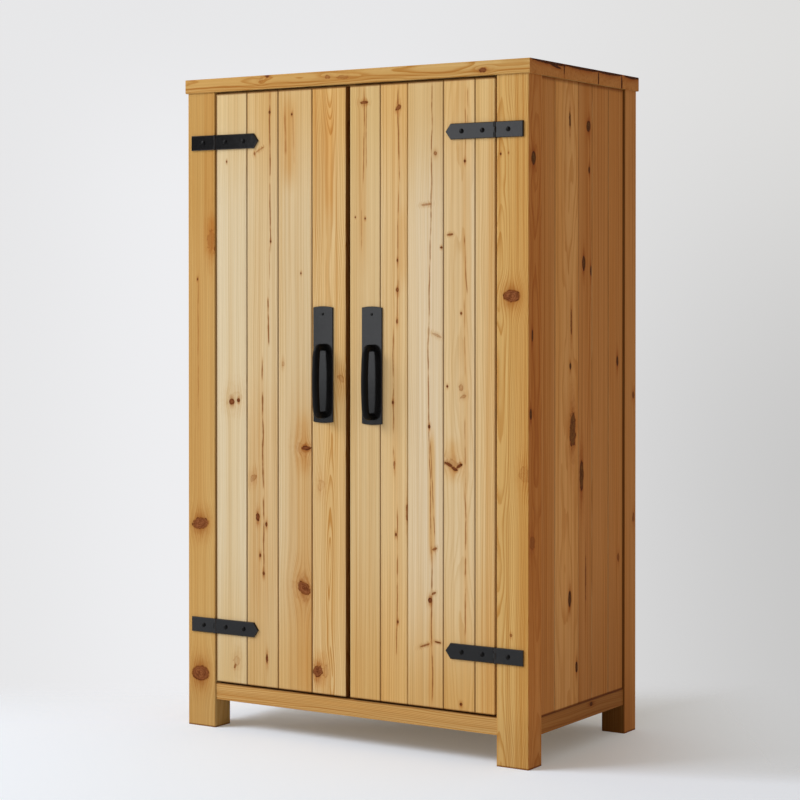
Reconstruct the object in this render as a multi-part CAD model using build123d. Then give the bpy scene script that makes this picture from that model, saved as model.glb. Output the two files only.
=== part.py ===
"""A two-door knotty pine armoire: post-and-rail carcase, boarded sides, boarded doors on iron strap hinges.

Frame: millimetres, +Z up, +X to the right as one faces the doors, +Y to the rear.
The origin is on the floor, at the centre of the box that holds the whole piece, handles included.
"""
import os
from math import asin, cos, sin

from build123d import *

# Overall sizes
WIDTH = 1090.0  # over the outer faces of the posts
DEPTH = 604.0  # over the outer faces of the posts
HEIGHT = 1800.0  # floor to the upper face of the top

# Top: four edge-glued boards
TOP_THICKNESS = 38.0
TOP_OVERHANG = 5.0
TOP_BOARD_PROPORTIONS = (178.0, 191.0, 135.0, 96.0)
TOP_JOINT_CHAMFER = 0.8
TOP_EDGE_ROUND = 2.5

# Corner posts, which run down to the floor as feet
POST_WIDTH = 94.0
REAR_POST_WIDTH = 70.0
POST_DEPTH = 69.0
EDGE_ROUND = 3.0

# Rails, tenoned into the posts
FOOT_CLEARANCE = 78.0
BOTTOM_RAIL_HEIGHT = 46.0
BOTTOM_RAIL_THICKNESS = 30.0
RAIL_RECESS = 4.0
TOP_RAIL_HEIGHT = 60.0
TOP_RAIL_THICKNESS = 28.0
RAIL_EDGE_ROUND = 1.5
TENON_LENGTH = 26.0
TENON_THICKNESS = 12.0
TENON_SHOULDER = 8.0
TENON_CLEARANCE = 0.2

# Tongued and grooved boards
TONGUE_LENGTH = 7.0
TONGUE_THICKNESS = 5.0
TONGUE_END_CLEARANCE = 1.0
TONGUE_SIDE_CLEARANCE = 0.2
BOARD_GAP = 1.2
BOARD_CHAMFER = 2.2

# Side panels
SIDE_BOARD_THICKNESS = 18.0
SIDE_RECESS = 5.0
SIDE_BOARD_PROPORTIONS = (76.0, 125.0, 74.0, 92.0, 85.0)

# Back panel, floor and shelf
BACK_BOARD_THICKNESS = 10.0
BACK_BOARD_COUNT = 8
BACK_REBATE = 10.0
FLOOR_THICKNESS = 18.0
FLOOR_BOARD_COUNT = 9
PANEL_CLEARANCE = 0.5
SHELF_THICKNESS = 18.0
SHELF_SETBACK = 6.0  # behind the ledges of the closed doors
HAT_SPACE = 244.0  # clear height between the shelf and the front top rail
CLEAT_HEIGHT = 30.0
CLEAT_THICKNESS = 20.0
CLEAT_CHAMFER = 7.0

# Doors
DOOR_BOARD_THICKNESS = 20.0
DOOR_HINGE_GAP = 5.0
DOOR_MEETING_GAP = 13.0
DOOR_END_GAP = 6.0  # above and below each door
DOOR_STOP_GAP = 1.0  # between a closed door and what stops it
MEETING_LINE_X = -6.0  # the left door is a little narrower than the right one
LEFT_BOARD_PROPORTIONS = (106.0, 105.5, 112.5, 109.5)
RIGHT_BOARD_PROPORTIONS = (97.5, 85.0, 110.0, 95.0, 58.0)
LEDGE_HEIGHT = 90.0
LEDGE_THICKNESS = 20.0
LEDGE_END_MARGIN = 22.0
LEDGE_BEVEL = 6.0

# Strap hinges
STRAP_HEIGHT = 41.0
STRAP_THICKNESS = 5.0
STRAP_BEVEL = 1.8
STRAP_DOOR_LENGTH = 148.0  # hinge axis to the point of the strap
STRAP_POINT_LENGTH = 15.0
STRAP_POST_LENGTH = 82.0  # hinge axis to the square end on the post
STRAP_DROP = 133.0  # top of the door to the middle of the upper strap
STRAP_RISE = 153.0  # bottom of the door to the middle of the lower strap
STRAP_BOLT_OFFSETS = (37.0, 99.0)  # hinge axis to the bolts in the door
POST_BOLT_OFFSET = 39.0  # hinge axis to the bolt in the post
KNUCKLE_RADIUS = 4.0
KNUCKLE_SETBACK = 0.5  # clearance between a knuckle and the other leaf
KNUCKLE_END_CLEARANCE = 0.3
HINGE_AXIS_STANDOFF = 2.4  # hinge axis in front of the door face
PIN_RADIUS = 2.0
PIN_CLEARANCE = 0.05
BOLT_HEAD_RADIUS = 6.5
BOLT_HEAD_HEIGHT = 4.0
BOLT_SHANK_RADIUS = 3.0
BOLT_RIM_SHARE = 0.25  # straight rim of a dome head, as a share of its height
BOLT_LENGTH = 38.0  # below the head
BOLT_HOLE_CLEARANCE = 0.05
BOLT_END_CLEARANCE = 1.0  # depth of a blind hole beyond the tip

# Pull handles
PLATE_WIDTH = 64.0
PLATE_HEIGHT = 313.0
PLATE_THICKNESS = 4.0
PLATE_END_ARCH = 3.0
PLATE_BEVEL = 1.2
PLATE_RISE = 72.0  # middle of the door to the middle of the plate
PLATE_INSET = 72.0  # door's meeting edge to the centre of the plate
GRIP_RADIUS = 9.5
GRIP_SPAN = 181.0  # between the centres of the two feet
GRIP_FOOT_RISE = 22.0  # lower end of the plate to the centre of the lower foot
GRIP_END_STANDOFF = 28.0  # plate to the grip's centreline at the bends
GRIP_MIDDLE_STANDOFF = 34.0
GRIP_BEND_RADIUS = 15.0
GRIP_BOW_SHARE = 0.8  # share of each half of the grip that the bow takes up
HANDLE_SCREW_DROP = 21.0  # upper end of the plate to its screw
HANDLE_SCREW_HEAD_RADIUS = 4.0
HANDLE_SCREW_HEAD_HEIGHT = 1.6
HANDLE_SCREW_RADIUS = 2.0
HANDLE_SCREW_LENGTH = 18.0
GRIP_SCREW_HEAD_RADIUS = 5.0
GRIP_SCREW_HEAD_HEIGHT = 3.0
GRIP_SCREW_RADIUS = 2.5
GRIP_SCREW_BITE = 12.0  # thread inside each foot of the grip

# Hanging rail
HANGING_RAIL_RADIUS = 14.0
HANGING_RAIL_DROP = 60.0  # underside of the shelf to the rail's centre
SOCKET_FLANGE_RADIUS = 30.0
SOCKET_FLANGE_THICKNESS = 3.0
SOCKET_CUP_DEPTH = 14.0
SOCKET_CUP_WALL = 3.0
SOCKET_CLEARANCE = 0.3

# Magnetic catches
CATCH_WIDTH = 46.0
CATCH_HEIGHT = 15.0
CATCH_DEPTH = 24.0
CATCH_INSET = 60.0  # meeting edge to the centre of a catch
CATCH_GAP = 0.6
CATCH_CHAMFER = 3.0
CATCH_POLE_THICKNESS = 1.6
CATCH_POLE_REACH = 1.6
CATCH_POLE_DROPS = (4.5, 9.0)  # front top rail to the middle of each pole piece
STRIKE_THICKNESS = 1.6
STRIKE_HEIGHT = 13.0
STRIKE_WIDTH = 38.0
STRIKE_CORNER_RADIUS = 2.5

# Dowels between the posts and the top
DOWEL_RADIUS = 6.0
DOWEL_LENGTH = 44.0
DOWEL_CLEARANCE = 0.1

# Places worked out from the sizes above
HANDLE_REACH = PLATE_THICKNESS + GRIP_MIDDLE_STANDOFF + GRIP_RADIUS
FACE_Y = HANDLE_REACH - (HANDLE_REACH + DEPTH + TOP_OVERHANG) / 2  # faces of posts and doors
BACK_Y = FACE_Y + DEPTH
SIDE_X = WIDTH / 2
POST_INNER_X = SIDE_X - POST_WIDTH
REAR_POST_INNER_X = SIDE_X - REAR_POST_WIDTH
POST_TOP_Z = HEIGHT - TOP_THICKNESS
RAIL_TOP_Z = FOOT_CLEARANCE + BOTTOM_RAIL_HEIGHT
TOP_RAIL_Z = POST_TOP_Z - TOP_RAIL_HEIGHT
PANEL_OUTER_X = SIDE_X - SIDE_RECESS
PANEL_INNER_X = PANEL_OUTER_X - SIDE_BOARD_THICKNESS
FRONT_POST_REAR_Y = FACE_Y + POST_DEPTH
REAR_POST_FRONT_Y = BACK_Y - POST_DEPTH
BACK_INNER_Y = BACK_Y - BACK_BOARD_THICKNESS
DOOR_BOTTOM_Z = RAIL_TOP_Z + DOOR_END_GAP
DOOR_TOP_Z = POST_TOP_Z - DOOR_END_GAP
DOOR_BACK_Y = FACE_Y + DOOR_BOARD_THICKNESS
STOP_Y = DOOR_BACK_Y + DOOR_STOP_GAP
HINGE_X = POST_INNER_X - DOOR_HINGE_GAP / 2
HINGE_Y = FACE_Y - HINGE_AXIS_STANDOFF
DOOR_OUTER_X = POST_INNER_X - DOOR_HINGE_GAP
LEFT_MEETING_X = MEETING_LINE_X - DOOR_MEETING_GAP / 2
RIGHT_MEETING_X = MEETING_LINE_X + DOOR_MEETING_GAP / 2
STRAP_LEVELS = {"upper": DOOR_TOP_Z - STRAP_DROP, "lower": DOOR_BOTTOM_Z + STRAP_RISE}
LEDGE_LEVELS = (*STRAP_LEVELS.values(), sum(STRAP_LEVELS.values()) / 2)
PLATE_CENTRE_Z = (DOOR_BOTTOM_Z + DOOR_TOP_Z) / 2 + PLATE_RISE
SHELF_Z = TOP_RAIL_Z - HAT_SPACE - SHELF_THICKNESS  # underside of the shelf
HANGING_RAIL_Z = SHELF_Z - HANGING_RAIL_DROP
SHELF_FRONT_Y = DOOR_BACK_Y + LEDGE_THICKNESS + SHELF_SETBACK
SIDES = {"left": -1, "right": 1}
TOUCHING = 1e-4  # distance under which two places count as one
BODY_DEPTH_CENTRE_Y = (FACE_Y + BACK_Y) / 2


def block(x_range, y_range, z_range):
    """A square-edged block between three pairs of planes, given in either order."""
    ranges = [sorted(pair) for pair in (x_range, y_range, z_range)]
    sizes = [high - low for low, high in ranges]
    middles = [(high + low) / 2 for low, high in ranges]
    return Pos(*middles) * Box(*sizes)


def span(start, total, proportions):
    """Neighbouring (from, to) stretches that fill a length in the given proportions."""
    scale = total / sum(proportions)
    stretches = []
    for proportion in proportions:
        stretches.append((start, start + proportion * scale))
        start = stretches[-1][1]
    return stretches


def rounded(solid, radius, axis):
    """Rounds the edges of a block that run along one axis."""
    return fillet(solid.edges().filter_by(axis), radius)


def dome_headed(head_radius, head_height, shank_radius, shank_length):
    """A dome-headed fixing along Z: the seat of its head at Z 0, the dome above it and the shank below."""
    rim = head_height * BOLT_RIM_SHARE
    rise = head_height - rim
    dome_radius = (head_radius**2 + rise**2) / (2 * rise)
    half_turn = asin(head_radius / dome_radius) / 2
    shoulder = (dome_radius * sin(half_turn), head_height - dome_radius * (1 - cos(half_turn)))
    outline = Polyline(
        (0, head_height), (0, -shank_length), (shank_radius, -shank_length),
        (shank_radius, 0), (head_radius, 0), (head_radius, rim),
    )
    dome = ThreePointArc((head_radius, rim), shoulder, (0, head_height))
    profile = Plane.XZ * make_face([*outline.edges(), *dome.edges()])
    return revolve(profile, Axis.Z)


def edge_points(position, thickness, kind, outward):
    """One edge of a board's section, from its show face (depth 0) to its back (depth = thickness)."""
    tongue_from = (thickness - TONGUE_THICKNESS) / 2
    tongue_to = tongue_from + TONGUE_THICKNESS
    if kind == "square":
        return [(position, 0), (position, thickness)]
    shoulder = [(position - outward * BOARD_CHAMFER, 0), (position, BOARD_CHAMFER)]
    if kind == "tongue":
        tip = position + outward * TONGUE_LENGTH
        return [*shoulder, (position, tongue_from), (tip, tongue_from), (tip, tongue_to),
                (position, tongue_to), (position, thickness)]
    bottom = position - outward * (TONGUE_LENGTH - BOARD_GAP + TONGUE_END_CLEARANCE)
    groove_from, groove_to = tongue_from - TONGUE_SIDE_CLEARANCE, tongue_to + TONGUE_SIDE_CLEARANCE
    return [*shoulder, (position, groove_from), (bottom, groove_from), (bottom, groove_to),
            (position, groove_to), (position, thickness)]


def board(plane, width, thickness, length, first, last, edge_round=0.0):
    """A board: width along the plane's x, thickness along its y from the show face, length along its z."""
    start = edge_points(0, thickness, first, -1)
    end = edge_points(width, thickness, last, 1)
    points = [*start, *reversed(end)]
    section = make_face(Polyline(*points, close=True).edges())
    solid = extrude(plane * section, length)
    across = [u for u, kind in ((0, first), (width, last)) if kind == "square"]
    if edge_round and across:
        middles = [plane.from_local_coords(Vector(u, 0, length / 2)) for u in across]
        arrises = [edge for edge in solid.edges() for m in middles if (edge.center() - m).length < TOUCHING]
        solid = fillet(arrises, edge_round)
    return solid


def boarding(plane, total, proportions, thickness, length, first="square", last="square", edge_round=0.0):
    """Tongued and grooved boards that fill a width along the plane's x, first and last edges as named."""
    boards = []
    for index, (low, high) in enumerate(span(0, total, proportions)):
        final = index == len(proportions) - 1
        low_edge = first if index == 0 else "groove"
        high_edge = last if final else "tongue"
        width = high - low - (0 if final else BOARD_GAP)
        place = Plane(plane.location * Pos(low, 0, 0))
        boards.append(board(place, width, thickness, length, low_edge, high_edge, edge_round))
    return boards


def tenons(ranges, axis):
    """The (x, y, z) ranges of the two tenons of a rail that runs along axis 0 (X) or 1 (Y)."""
    across = 1 - axis
    middle = sum(ranges[across]) / 2
    low, high = sorted(ranges[axis])
    both = []
    for end, outer in ((low, low - TENON_LENGTH), (high, high + TENON_LENGTH)):
        tenon = [None, None, (min(ranges[2]) + TENON_SHOULDER, max(ranges[2]) - TENON_SHOULDER)]
        tenon[axis] = (end, outer)
        tenon[across] = (middle - TENON_THICKNESS / 2, middle + TENON_THICKNESS / 2)
        both.append(tenon)
    return both


def grown(ranges, clearance):
    """A block's ranges, larger by a clearance on every side."""
    return [(min(pair) - clearance, max(pair) + clearance) for pair in ranges]


def rail(ranges, axis):
    """A rail with rounded long edges and a tenon at each end."""
    body = rounded(block(*ranges), RAIL_EDGE_ROUND, Axis.X if axis == 0 else Axis.Y)
    for tenon in tenons(ranges, axis):
        body += block(*tenon)
    return body


def rail_layout():
    """Name to (ranges, axis) for the eight rails."""
    bottom_z = (FOOT_CLEARANCE, RAIL_TOP_Z)
    top_z = (TOP_RAIL_Z, POST_TOP_Z)
    front_x = (-POST_INNER_X, POST_INNER_X)
    rear_x = (-REAR_POST_INNER_X, REAR_POST_INNER_X)
    side_y = (FRONT_POST_REAR_Y, REAR_POST_FRONT_Y)
    front_y = FACE_Y + RAIL_RECESS
    layout = {
        "front_bottom_rail": ((front_x, (front_y, front_y + BOTTOM_RAIL_THICKNESS), bottom_z), 0),
        "rear_bottom_rail": ((rear_x, (BACK_INNER_Y - BOTTOM_RAIL_THICKNESS, BACK_INNER_Y), bottom_z), 0),
        "front_top_rail": ((front_x, (STOP_Y, STOP_Y + TOP_RAIL_THICKNESS), top_z), 0),
        "rear_top_rail": ((rear_x, (BACK_INNER_Y - TOP_RAIL_THICKNESS, BACK_INNER_Y), top_z), 0),
    }
    for side, sign in SIDES.items():
        outer = SIDE_X - RAIL_RECESS
        bottom_x = tuple(sorted((sign * outer, sign * (outer - BOTTOM_RAIL_THICKNESS))))
        top_x = tuple(sorted((sign * PANEL_INNER_X, sign * (PANEL_INNER_X - TOP_RAIL_THICKNESS))))
        layout[f"{side}_bottom_rail"] = ((bottom_x, side_y, bottom_z), 1)
        layout[f"{side}_top_rail"] = ((top_x, side_y, top_z), 1)
    return layout


def post_ranges():
    """Name to ranges for the four corner posts."""
    layout = {}
    for side, sign in SIDES.items():
        outer = sign * SIDE_X
        front_x, rear_x = (outer, sign * POST_INNER_X), (outer, sign * REAR_POST_INNER_X)
        layout[f"front_{side}_post"] = (front_x, (FACE_Y, FRONT_POST_REAR_Y), (0, POST_TOP_Z))
        layout[f"rear_{side}_post"] = (rear_x, (REAR_POST_FRONT_Y, BACK_Y), (0, POST_TOP_Z))
    return layout


def dowel_place(ranges):
    """(x, y) of the dowel in a post's top, midway between its outer face and the side rails' tenons."""
    inset = (POST_DEPTH - TENON_LENGTH) / 2
    front = FACE_Y in ranges[1]
    return sum(ranges[0]) / 2, FACE_Y + inset if front else BACK_Y - inset


def dowels(radius, length):
    """Upright cylinders at the four dowels' places, half in the posts and half in the top."""
    places = [dowel_place(ranges) for ranges in post_ranges().values()]
    return Compound(children=[Pos(x, y, POST_TOP_Z) * Cylinder(radius, length) for x, y in places])


def dowel_holes():
    return dowels(DOWEL_RADIUS + DOWEL_CLEARANCE, DOWEL_LENGTH)


def top_dowels():
    return dowels(DOWEL_RADIUS, DOWEL_LENGTH - 2 * DOWEL_CLEARANCE)


def strap_bolt_places(sign):
    """(x, z) of the bolts through the straps of one door."""
    return [(sign * (HINGE_X - offset), z) for z in STRAP_LEVELS.values() for offset in STRAP_BOLT_OFFSETS]


def post_bolt_places(sign):
    """(x, z) of the bolts through the post leaves of one side."""
    return [(sign * (HINGE_X + POST_BOLT_OFFSET), z) for z in STRAP_LEVELS.values()]


def bolt_holes(places, radius, clearance, front_y, depth):
    """Round holes along Y at (x, z) places, from a front plane to a depth."""
    hole = Rot(90, 0, 0) * Cylinder(radius + clearance, depth)
    return Compound(children=[Pos(x, front_y + depth / 2, z) * hole for x, z in places])


def posts():
    """Four posts, mortised for the rails, grooved for the side boards, rebated for the back."""
    tongue_x = PANEL_OUTER_X - SIDE_BOARD_THICKNESS / 2
    groove_half = TONGUE_THICKNESS / 2 + TONGUE_SIDE_CLEARANCE
    groove_depth = TONGUE_LENGTH + TONGUE_END_CLEARANCE
    all_tenons = [t for ranges, axis in rail_layout().values() for t in tenons(ranges, axis)]
    made = {}
    for name, ranges in post_ranges().items():
        sign = 1 if "right" in name else -1
        front = name.startswith("front")
        post = rounded(block(*ranges), EDGE_ROUND, Axis.Z)
        groove_x = (sign * (tongue_x - groove_half), sign * (tongue_x + groove_half))
        groove_y = FRONT_POST_REAR_Y - groove_depth if front else REAR_POST_FRONT_Y + groove_depth
        edge_y = FRONT_POST_REAR_Y if front else REAR_POST_FRONT_Y
        post -= block(groove_x, (groove_y, edge_y), (RAIL_TOP_Z, POST_TOP_Z))
        for tenon in all_tenons:
            middle = [sum(pair) / 2 for pair in tenon]
            if all(min(r) < m < max(r) for r, m in zip(ranges, middle)):
                post -= block(*grown(tenon, TENON_CLEARANCE))
        if front:
            post -= bolt_holes(post_bolt_places(sign), BOLT_SHANK_RADIUS, BOLT_HOLE_CLEARANCE,
                               FACE_Y, BOLT_LENGTH - STRAP_THICKNESS + BOLT_END_CLEARANCE)
        else:
            rebate_x = (sign * REAR_POST_INNER_X, sign * (REAR_POST_INNER_X + BACK_REBATE))
            post -= block(rebate_x, (BACK_INNER_Y, BACK_Y), (FOOT_CLEARANCE, POST_TOP_Z))
        made[name] = post - dowel_holes()
    return made


def rails():
    return {name: rail(ranges, axis) for name, (ranges, axis) in rail_layout().items()}


def top_boards():
    """Four boards, edge to edge, drilled for the dowels that hold them to the posts."""
    half = SIDE_X + TOP_OVERHANG
    front, rear = FACE_Y - TOP_OVERHANG, BACK_Y + TOP_OVERHANG
    room = dowel_holes()
    boards = []
    for low, high in span(front, rear - front, TOP_BOARD_PROPORTIONS):
        plank = block((-half, half), (low, high), (POST_TOP_Z, HEIGHT))
        for y in (low, high):
            long_edges = plank.edges().filter_by(Axis.X)
            arrises = [edge for edge in long_edges if abs(edge.center().Y - y) < TOUCHING]
            on_rim = min(abs(y - front), abs(y - rear)) < TOUCHING
            plank = fillet(arrises, TOP_EDGE_ROUND) if on_rim else chamfer(arrises, TOP_JOINT_CHAMFER)
        boards.append(plank - room)
    return Compound(children=boards)


def side_boards(side, sign):
    """Boards of one side, tongued into both posts and standing on the side rail."""
    width = REAR_POST_FRONT_Y - FRONT_POST_REAR_Y
    length = POST_TOP_Z - RAIL_TOP_Z
    start_z = RAIL_TOP_Z if sign > 0 else POST_TOP_Z
    plane = Plane((sign * PANEL_OUTER_X, FRONT_POST_REAR_Y, start_z), x_dir=(0, 1, 0), z_dir=(0, 0, sign))
    made = boarding(plane, width, SIDE_BOARD_PROPORTIONS, SIDE_BOARD_THICKNESS, length,
                    first="tongue", last="tongue")
    return {f"{side}_side_board_{n}": solid for n, solid in enumerate(made, 1)}


def back_boards():
    """Equal boards in the rebates of the rear posts, over the rear rails."""
    half = REAR_POST_INNER_X + BACK_REBATE - PANEL_CLEARANCE
    plane = Plane((-half, BACK_Y, POST_TOP_Z), x_dir=(1, 0, 0), z_dir=(0, 0, -1))
    length = POST_TOP_Z - FOOT_CLEARANCE
    widths = [1] * BACK_BOARD_COUNT
    return Compound(children=boarding(plane, 2 * half, widths, BACK_BOARD_THICKNESS, length))


def post_clearance():
    """The room that a panel leaves around the posts."""
    return Compound(children=[block(*grown(ranges, PANEL_CLEARANCE)) for ranges in post_ranges().values()])


def floor_boards():
    """Floor boards that run from the front rail to the rear rail; their front ends stop the doors."""
    half = PANEL_INNER_X - PANEL_CLEARANCE
    length = BACK_INNER_Y - PANEL_CLEARANCE - STOP_Y
    plane = Plane((-half, STOP_Y, RAIL_TOP_Z + FLOOR_THICKNESS), x_dir=(1, 0, 0), z_dir=(0, 1, 0))
    room = post_clearance()
    made = boarding(plane, 2 * half, [1] * FLOOR_BOARD_COUNT, FLOOR_THICKNESS, length)
    return Compound(children=[solid - room for solid in made])


def shelf():
    """A shelf between the sides, cut out round the posts."""
    half = PANEL_INNER_X - PANEL_CLEARANCE
    y_range = (SHELF_FRONT_Y, BACK_INNER_Y - PANEL_CLEARANCE)
    panel = block((-half, half), y_range, (SHELF_Z, SHELF_Z + SHELF_THICKNESS))
    front = panel.edges().filter_by(Axis.X).sort_by(Axis.Y)[:2]
    return fillet(front, EDGE_ROUND) - post_clearance()


def shelf_cleats():
    """A cleat on each side panel that carries an end of the shelf."""
    cleats = []
    for sign in SIDES.values():
        x_range = (sign * PANEL_INNER_X, sign * (PANEL_INNER_X - CLEAT_THICKNESS))
        y_range = (FRONT_POST_REAR_Y + PANEL_CLEARANCE, REAR_POST_FRONT_Y - PANEL_CLEARANCE)
        cleat = block(x_range, y_range, (SHELF_Z - CLEAT_HEIGHT, SHELF_Z))
        lower_edges = cleat.edges().filter_by(Axis.Y).group_by(Axis.Z)[0]
        inner_edge = min(lower_edges, key=lambda edge: abs(edge.center().X))
        cleats.append(chamfer(inner_edge, CLEAT_CHAMFER))
    return Compound(children=cleats)


def hanging_rail():
    """A round rail across the middle of the depth, from socket to socket."""
    half = PANEL_INNER_X - SOCKET_FLANGE_THICKNESS - SOCKET_CLEARANCE
    place = Pos(0, BODY_DEPTH_CENTRE_Y, HANGING_RAIL_Z) * Rot(0, 90, 0)
    return place * Cylinder(HANGING_RAIL_RADIUS, 2 * half)


def rail_sockets():
    """A flanged cup on each side panel that holds an end of the hanging rail."""
    bore = HANGING_RAIL_RADIUS + SOCKET_CLEARANCE
    standing = (Align.CENTER, Align.CENTER, Align.MIN)
    flange = Cylinder(SOCKET_FLANGE_RADIUS, SOCKET_FLANGE_THICKNESS, align=standing)
    cup = Cylinder(bore + SOCKET_CUP_WALL, SOCKET_CUP_DEPTH, align=standing)
    hollow = Pos(0, 0, SOCKET_FLANGE_THICKNESS) * Cylinder(bore, SOCKET_CUP_DEPTH, align=standing)
    socket = flange + cup - hollow
    places = [Pos(sign * PANEL_INNER_X, BODY_DEPTH_CENTRE_Y, HANGING_RAIL_Z) * Rot(0, -90 * sign, 0)
              for sign in SIDES.values()]
    return Compound(children=[place * socket for place in places])


def door_edges(sign):
    """(lowest x, highest x, meeting edge x) of a door."""
    meeting = LEFT_MEETING_X if sign < 0 else RIGHT_MEETING_X
    low, high = sorted((meeting, sign * DOOR_OUTER_X))
    return low, high, meeting


def handle_x(sign):
    return door_edges(sign)[2] + sign * PLATE_INSET


def handle_screw_places(sign):
    """(x, z) of the plate's own screw, and of the two that hold the grip from behind."""
    lower_foot = PLATE_CENTRE_Z - PLATE_HEIGHT / 2 + GRIP_FOOT_RISE
    plate_screw = (handle_x(sign), PLATE_CENTRE_Z + PLATE_HEIGHT / 2 - HANDLE_SCREW_DROP)
    feet = [(handle_x(sign), lower_foot), (handle_x(sign), lower_foot + GRIP_SPAN)]
    return plate_screw, feet


def door_boards(side, sign):
    """Boards of one door, hung flush with the posts, drilled for the strap bolts and the handle."""
    low, high, _ = door_edges(sign)
    proportions = LEFT_BOARD_PROPORTIONS if sign < 0 else RIGHT_BOARD_PROPORTIONS
    plane = Plane((low, FACE_Y, DOOR_BOTTOM_Z), x_dir=(1, 0, 0), z_dir=(0, 0, 1))
    made = boarding(plane, high - low, proportions, DOOR_BOARD_THICKNESS, DOOR_TOP_Z - DOOR_BOTTOM_Z,
                    edge_round=EDGE_ROUND)
    plate_screw, feet = handle_screw_places(sign)
    drilled = (
        (strap_bolt_places(sign), BOLT_SHANK_RADIUS),
        ([plate_screw], HANDLE_SCREW_RADIUS),
        (feet, GRIP_SCREW_RADIUS),
    )
    for places, radius in drilled:
        holes = bolt_holes(places, radius, BOLT_HOLE_CLEARANCE, FACE_Y, DOOR_BOARD_THICKNESS)
        made = [solid - holes for solid in made]
    return {f"{side}_door_board_{n}": solid for n, solid in enumerate(made, 1)}


def door_ledges(sign):
    """Three ledges behind the boards of a door, bevelled at the back, two of them under the straps."""
    low, high, _ = door_edges(sign)
    x_range = (low + LEDGE_END_MARGIN, high - LEDGE_END_MARGIN)
    depth = BOLT_LENGTH - STRAP_THICKNESS - DOOR_BOARD_THICKNESS + BOLT_END_CLEARANCE
    holes = bolt_holes(strap_bolt_places(sign), BOLT_SHANK_RADIUS, BOLT_HOLE_CLEARANCE, DOOR_BACK_Y, depth)
    ledges = []
    for z in LEDGE_LEVELS:
        z_range = (z - LEDGE_HEIGHT / 2, z + LEDGE_HEIGHT / 2)
        ledge = block(x_range, (DOOR_BACK_Y, DOOR_BACK_Y + LEDGE_THICKNESS), z_range)
        ledge = chamfer(ledge.faces().sort_by(Axis.Y)[-1].edges(), LEDGE_BEVEL)
        ledges.append(ledge - holes)
    return Compound(children=ledges)


def leaf_outline(length, pointed):
    """A hinge leaf's outline in X and Z, from the edge beside the knuckle along +X."""
    start = KNUCKLE_RADIUS + KNUCKLE_SETBACK
    half = STRAP_HEIGHT / 2
    shoulder = length - STRAP_POINT_LENGTH if pointed else length
    points = [(start, -half), (shoulder, -half), (shoulder, half), (start, half)]
    if pointed:
        points.insert(2, (length, 0))
    return make_face(Polyline(*points, close=True).edges())


def leaf(length, pointed, knuckles, bolt_offsets):
    """A hinge leaf along +X with its axis on Z at the origin and its show face towards -Y."""
    back = HINGE_AXIS_STANDOFF
    front = back - STRAP_THICKNESS
    start = KNUCKLE_RADIUS + KNUCKLE_SETBACK
    plate = extrude(Plane((0, back, 0), x_dir=(1, 0, 0), z_dir=(0, -1, 0)) * leaf_outline(length, pointed),
                    STRAP_THICKNESS)
    rim = [edge for edge in plate.faces().sort_by(Axis.Y)[0].edges() if edge.center().X > start + TOUCHING]
    solid = chamfer(rim, STRAP_BEVEL)
    for low, high in knuckles:
        barrel = Pos(0, 0, (low + high) / 2) * Cylinder(KNUCKLE_RADIUS, high - low)
        solid += barrel + block((0, start + STRAP_BEVEL), (front + STRAP_BEVEL, back), (low, high))
        solid += block((0, start), (front, back), (max(low, STRAP_BEVEL - STRAP_HEIGHT / 2),
                                                   min(high, STRAP_HEIGHT / 2 - STRAP_BEVEL)))
    solid -= Cylinder(PIN_RADIUS + PIN_CLEARANCE, 2 * STRAP_HEIGHT)
    holes = [(offset, 0) for offset in bolt_offsets]
    return solid - bolt_holes(holes, BOLT_SHANK_RADIUS, BOLT_HOLE_CLEARANCE, front, STRAP_THICKNESS)


def knuckle_ranges():
    """Heights of the post leaf's two knuckles and of the strap's one between them."""
    sixth = STRAP_HEIGHT / 6
    half = STRAP_HEIGHT / 2
    outer = [(-half, -sixth - KNUCKLE_END_CLEARANCE), (sixth + KNUCKLE_END_CLEARANCE, half)]
    return outer, [(-sixth, sixth)]


def at_hinge(solid, sign, z):
    """Puts a leaf made along +X on a hinge: sign 1 leaves it along +X, and -1 turns it to -X by mirroring."""
    if sign < 0:
        solid = mirror(solid, Plane.YZ)
    return Pos(0, HINGE_Y, z) * solid


def door_strap(sign, z):
    """The strap of one hinge, on the door."""
    strap = leaf(STRAP_DOOR_LENGTH, True, knuckle_ranges()[1], STRAP_BOLT_OFFSETS)
    return Pos(sign * HINGE_X, 0, 0) * at_hinge(strap, -sign, z)


def post_leaves(sign):
    """The two hinge leaves on one front post."""
    leaves = []
    for z in STRAP_LEVELS.values():
        plain = leaf(STRAP_POST_LENGTH, False, knuckle_ranges()[0], (POST_BOLT_OFFSET,))
        leaves.append(Pos(sign * HINGE_X, 0, 0) * at_hinge(plain, sign, z))
    return Compound(children=leaves)


def hinge_pins():
    return Compound(children=[Pos(sign * HINGE_X, HINGE_Y, z) * Cylinder(PIN_RADIUS, STRAP_HEIGHT)
                              for sign in SIDES.values() for z in STRAP_LEVELS.values()])


def strap_bolts(places):
    """Dome-headed coach screws through the leaves at (x, z) places."""
    bolt = dome_headed(BOLT_HEAD_RADIUS, BOLT_HEAD_HEIGHT, BOLT_SHANK_RADIUS, BOLT_LENGTH)
    return Compound(children=[Pos(x, FACE_Y - STRAP_THICKNESS, z) * Rot(90, 0, 0) * bolt for x, z in places])


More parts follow.
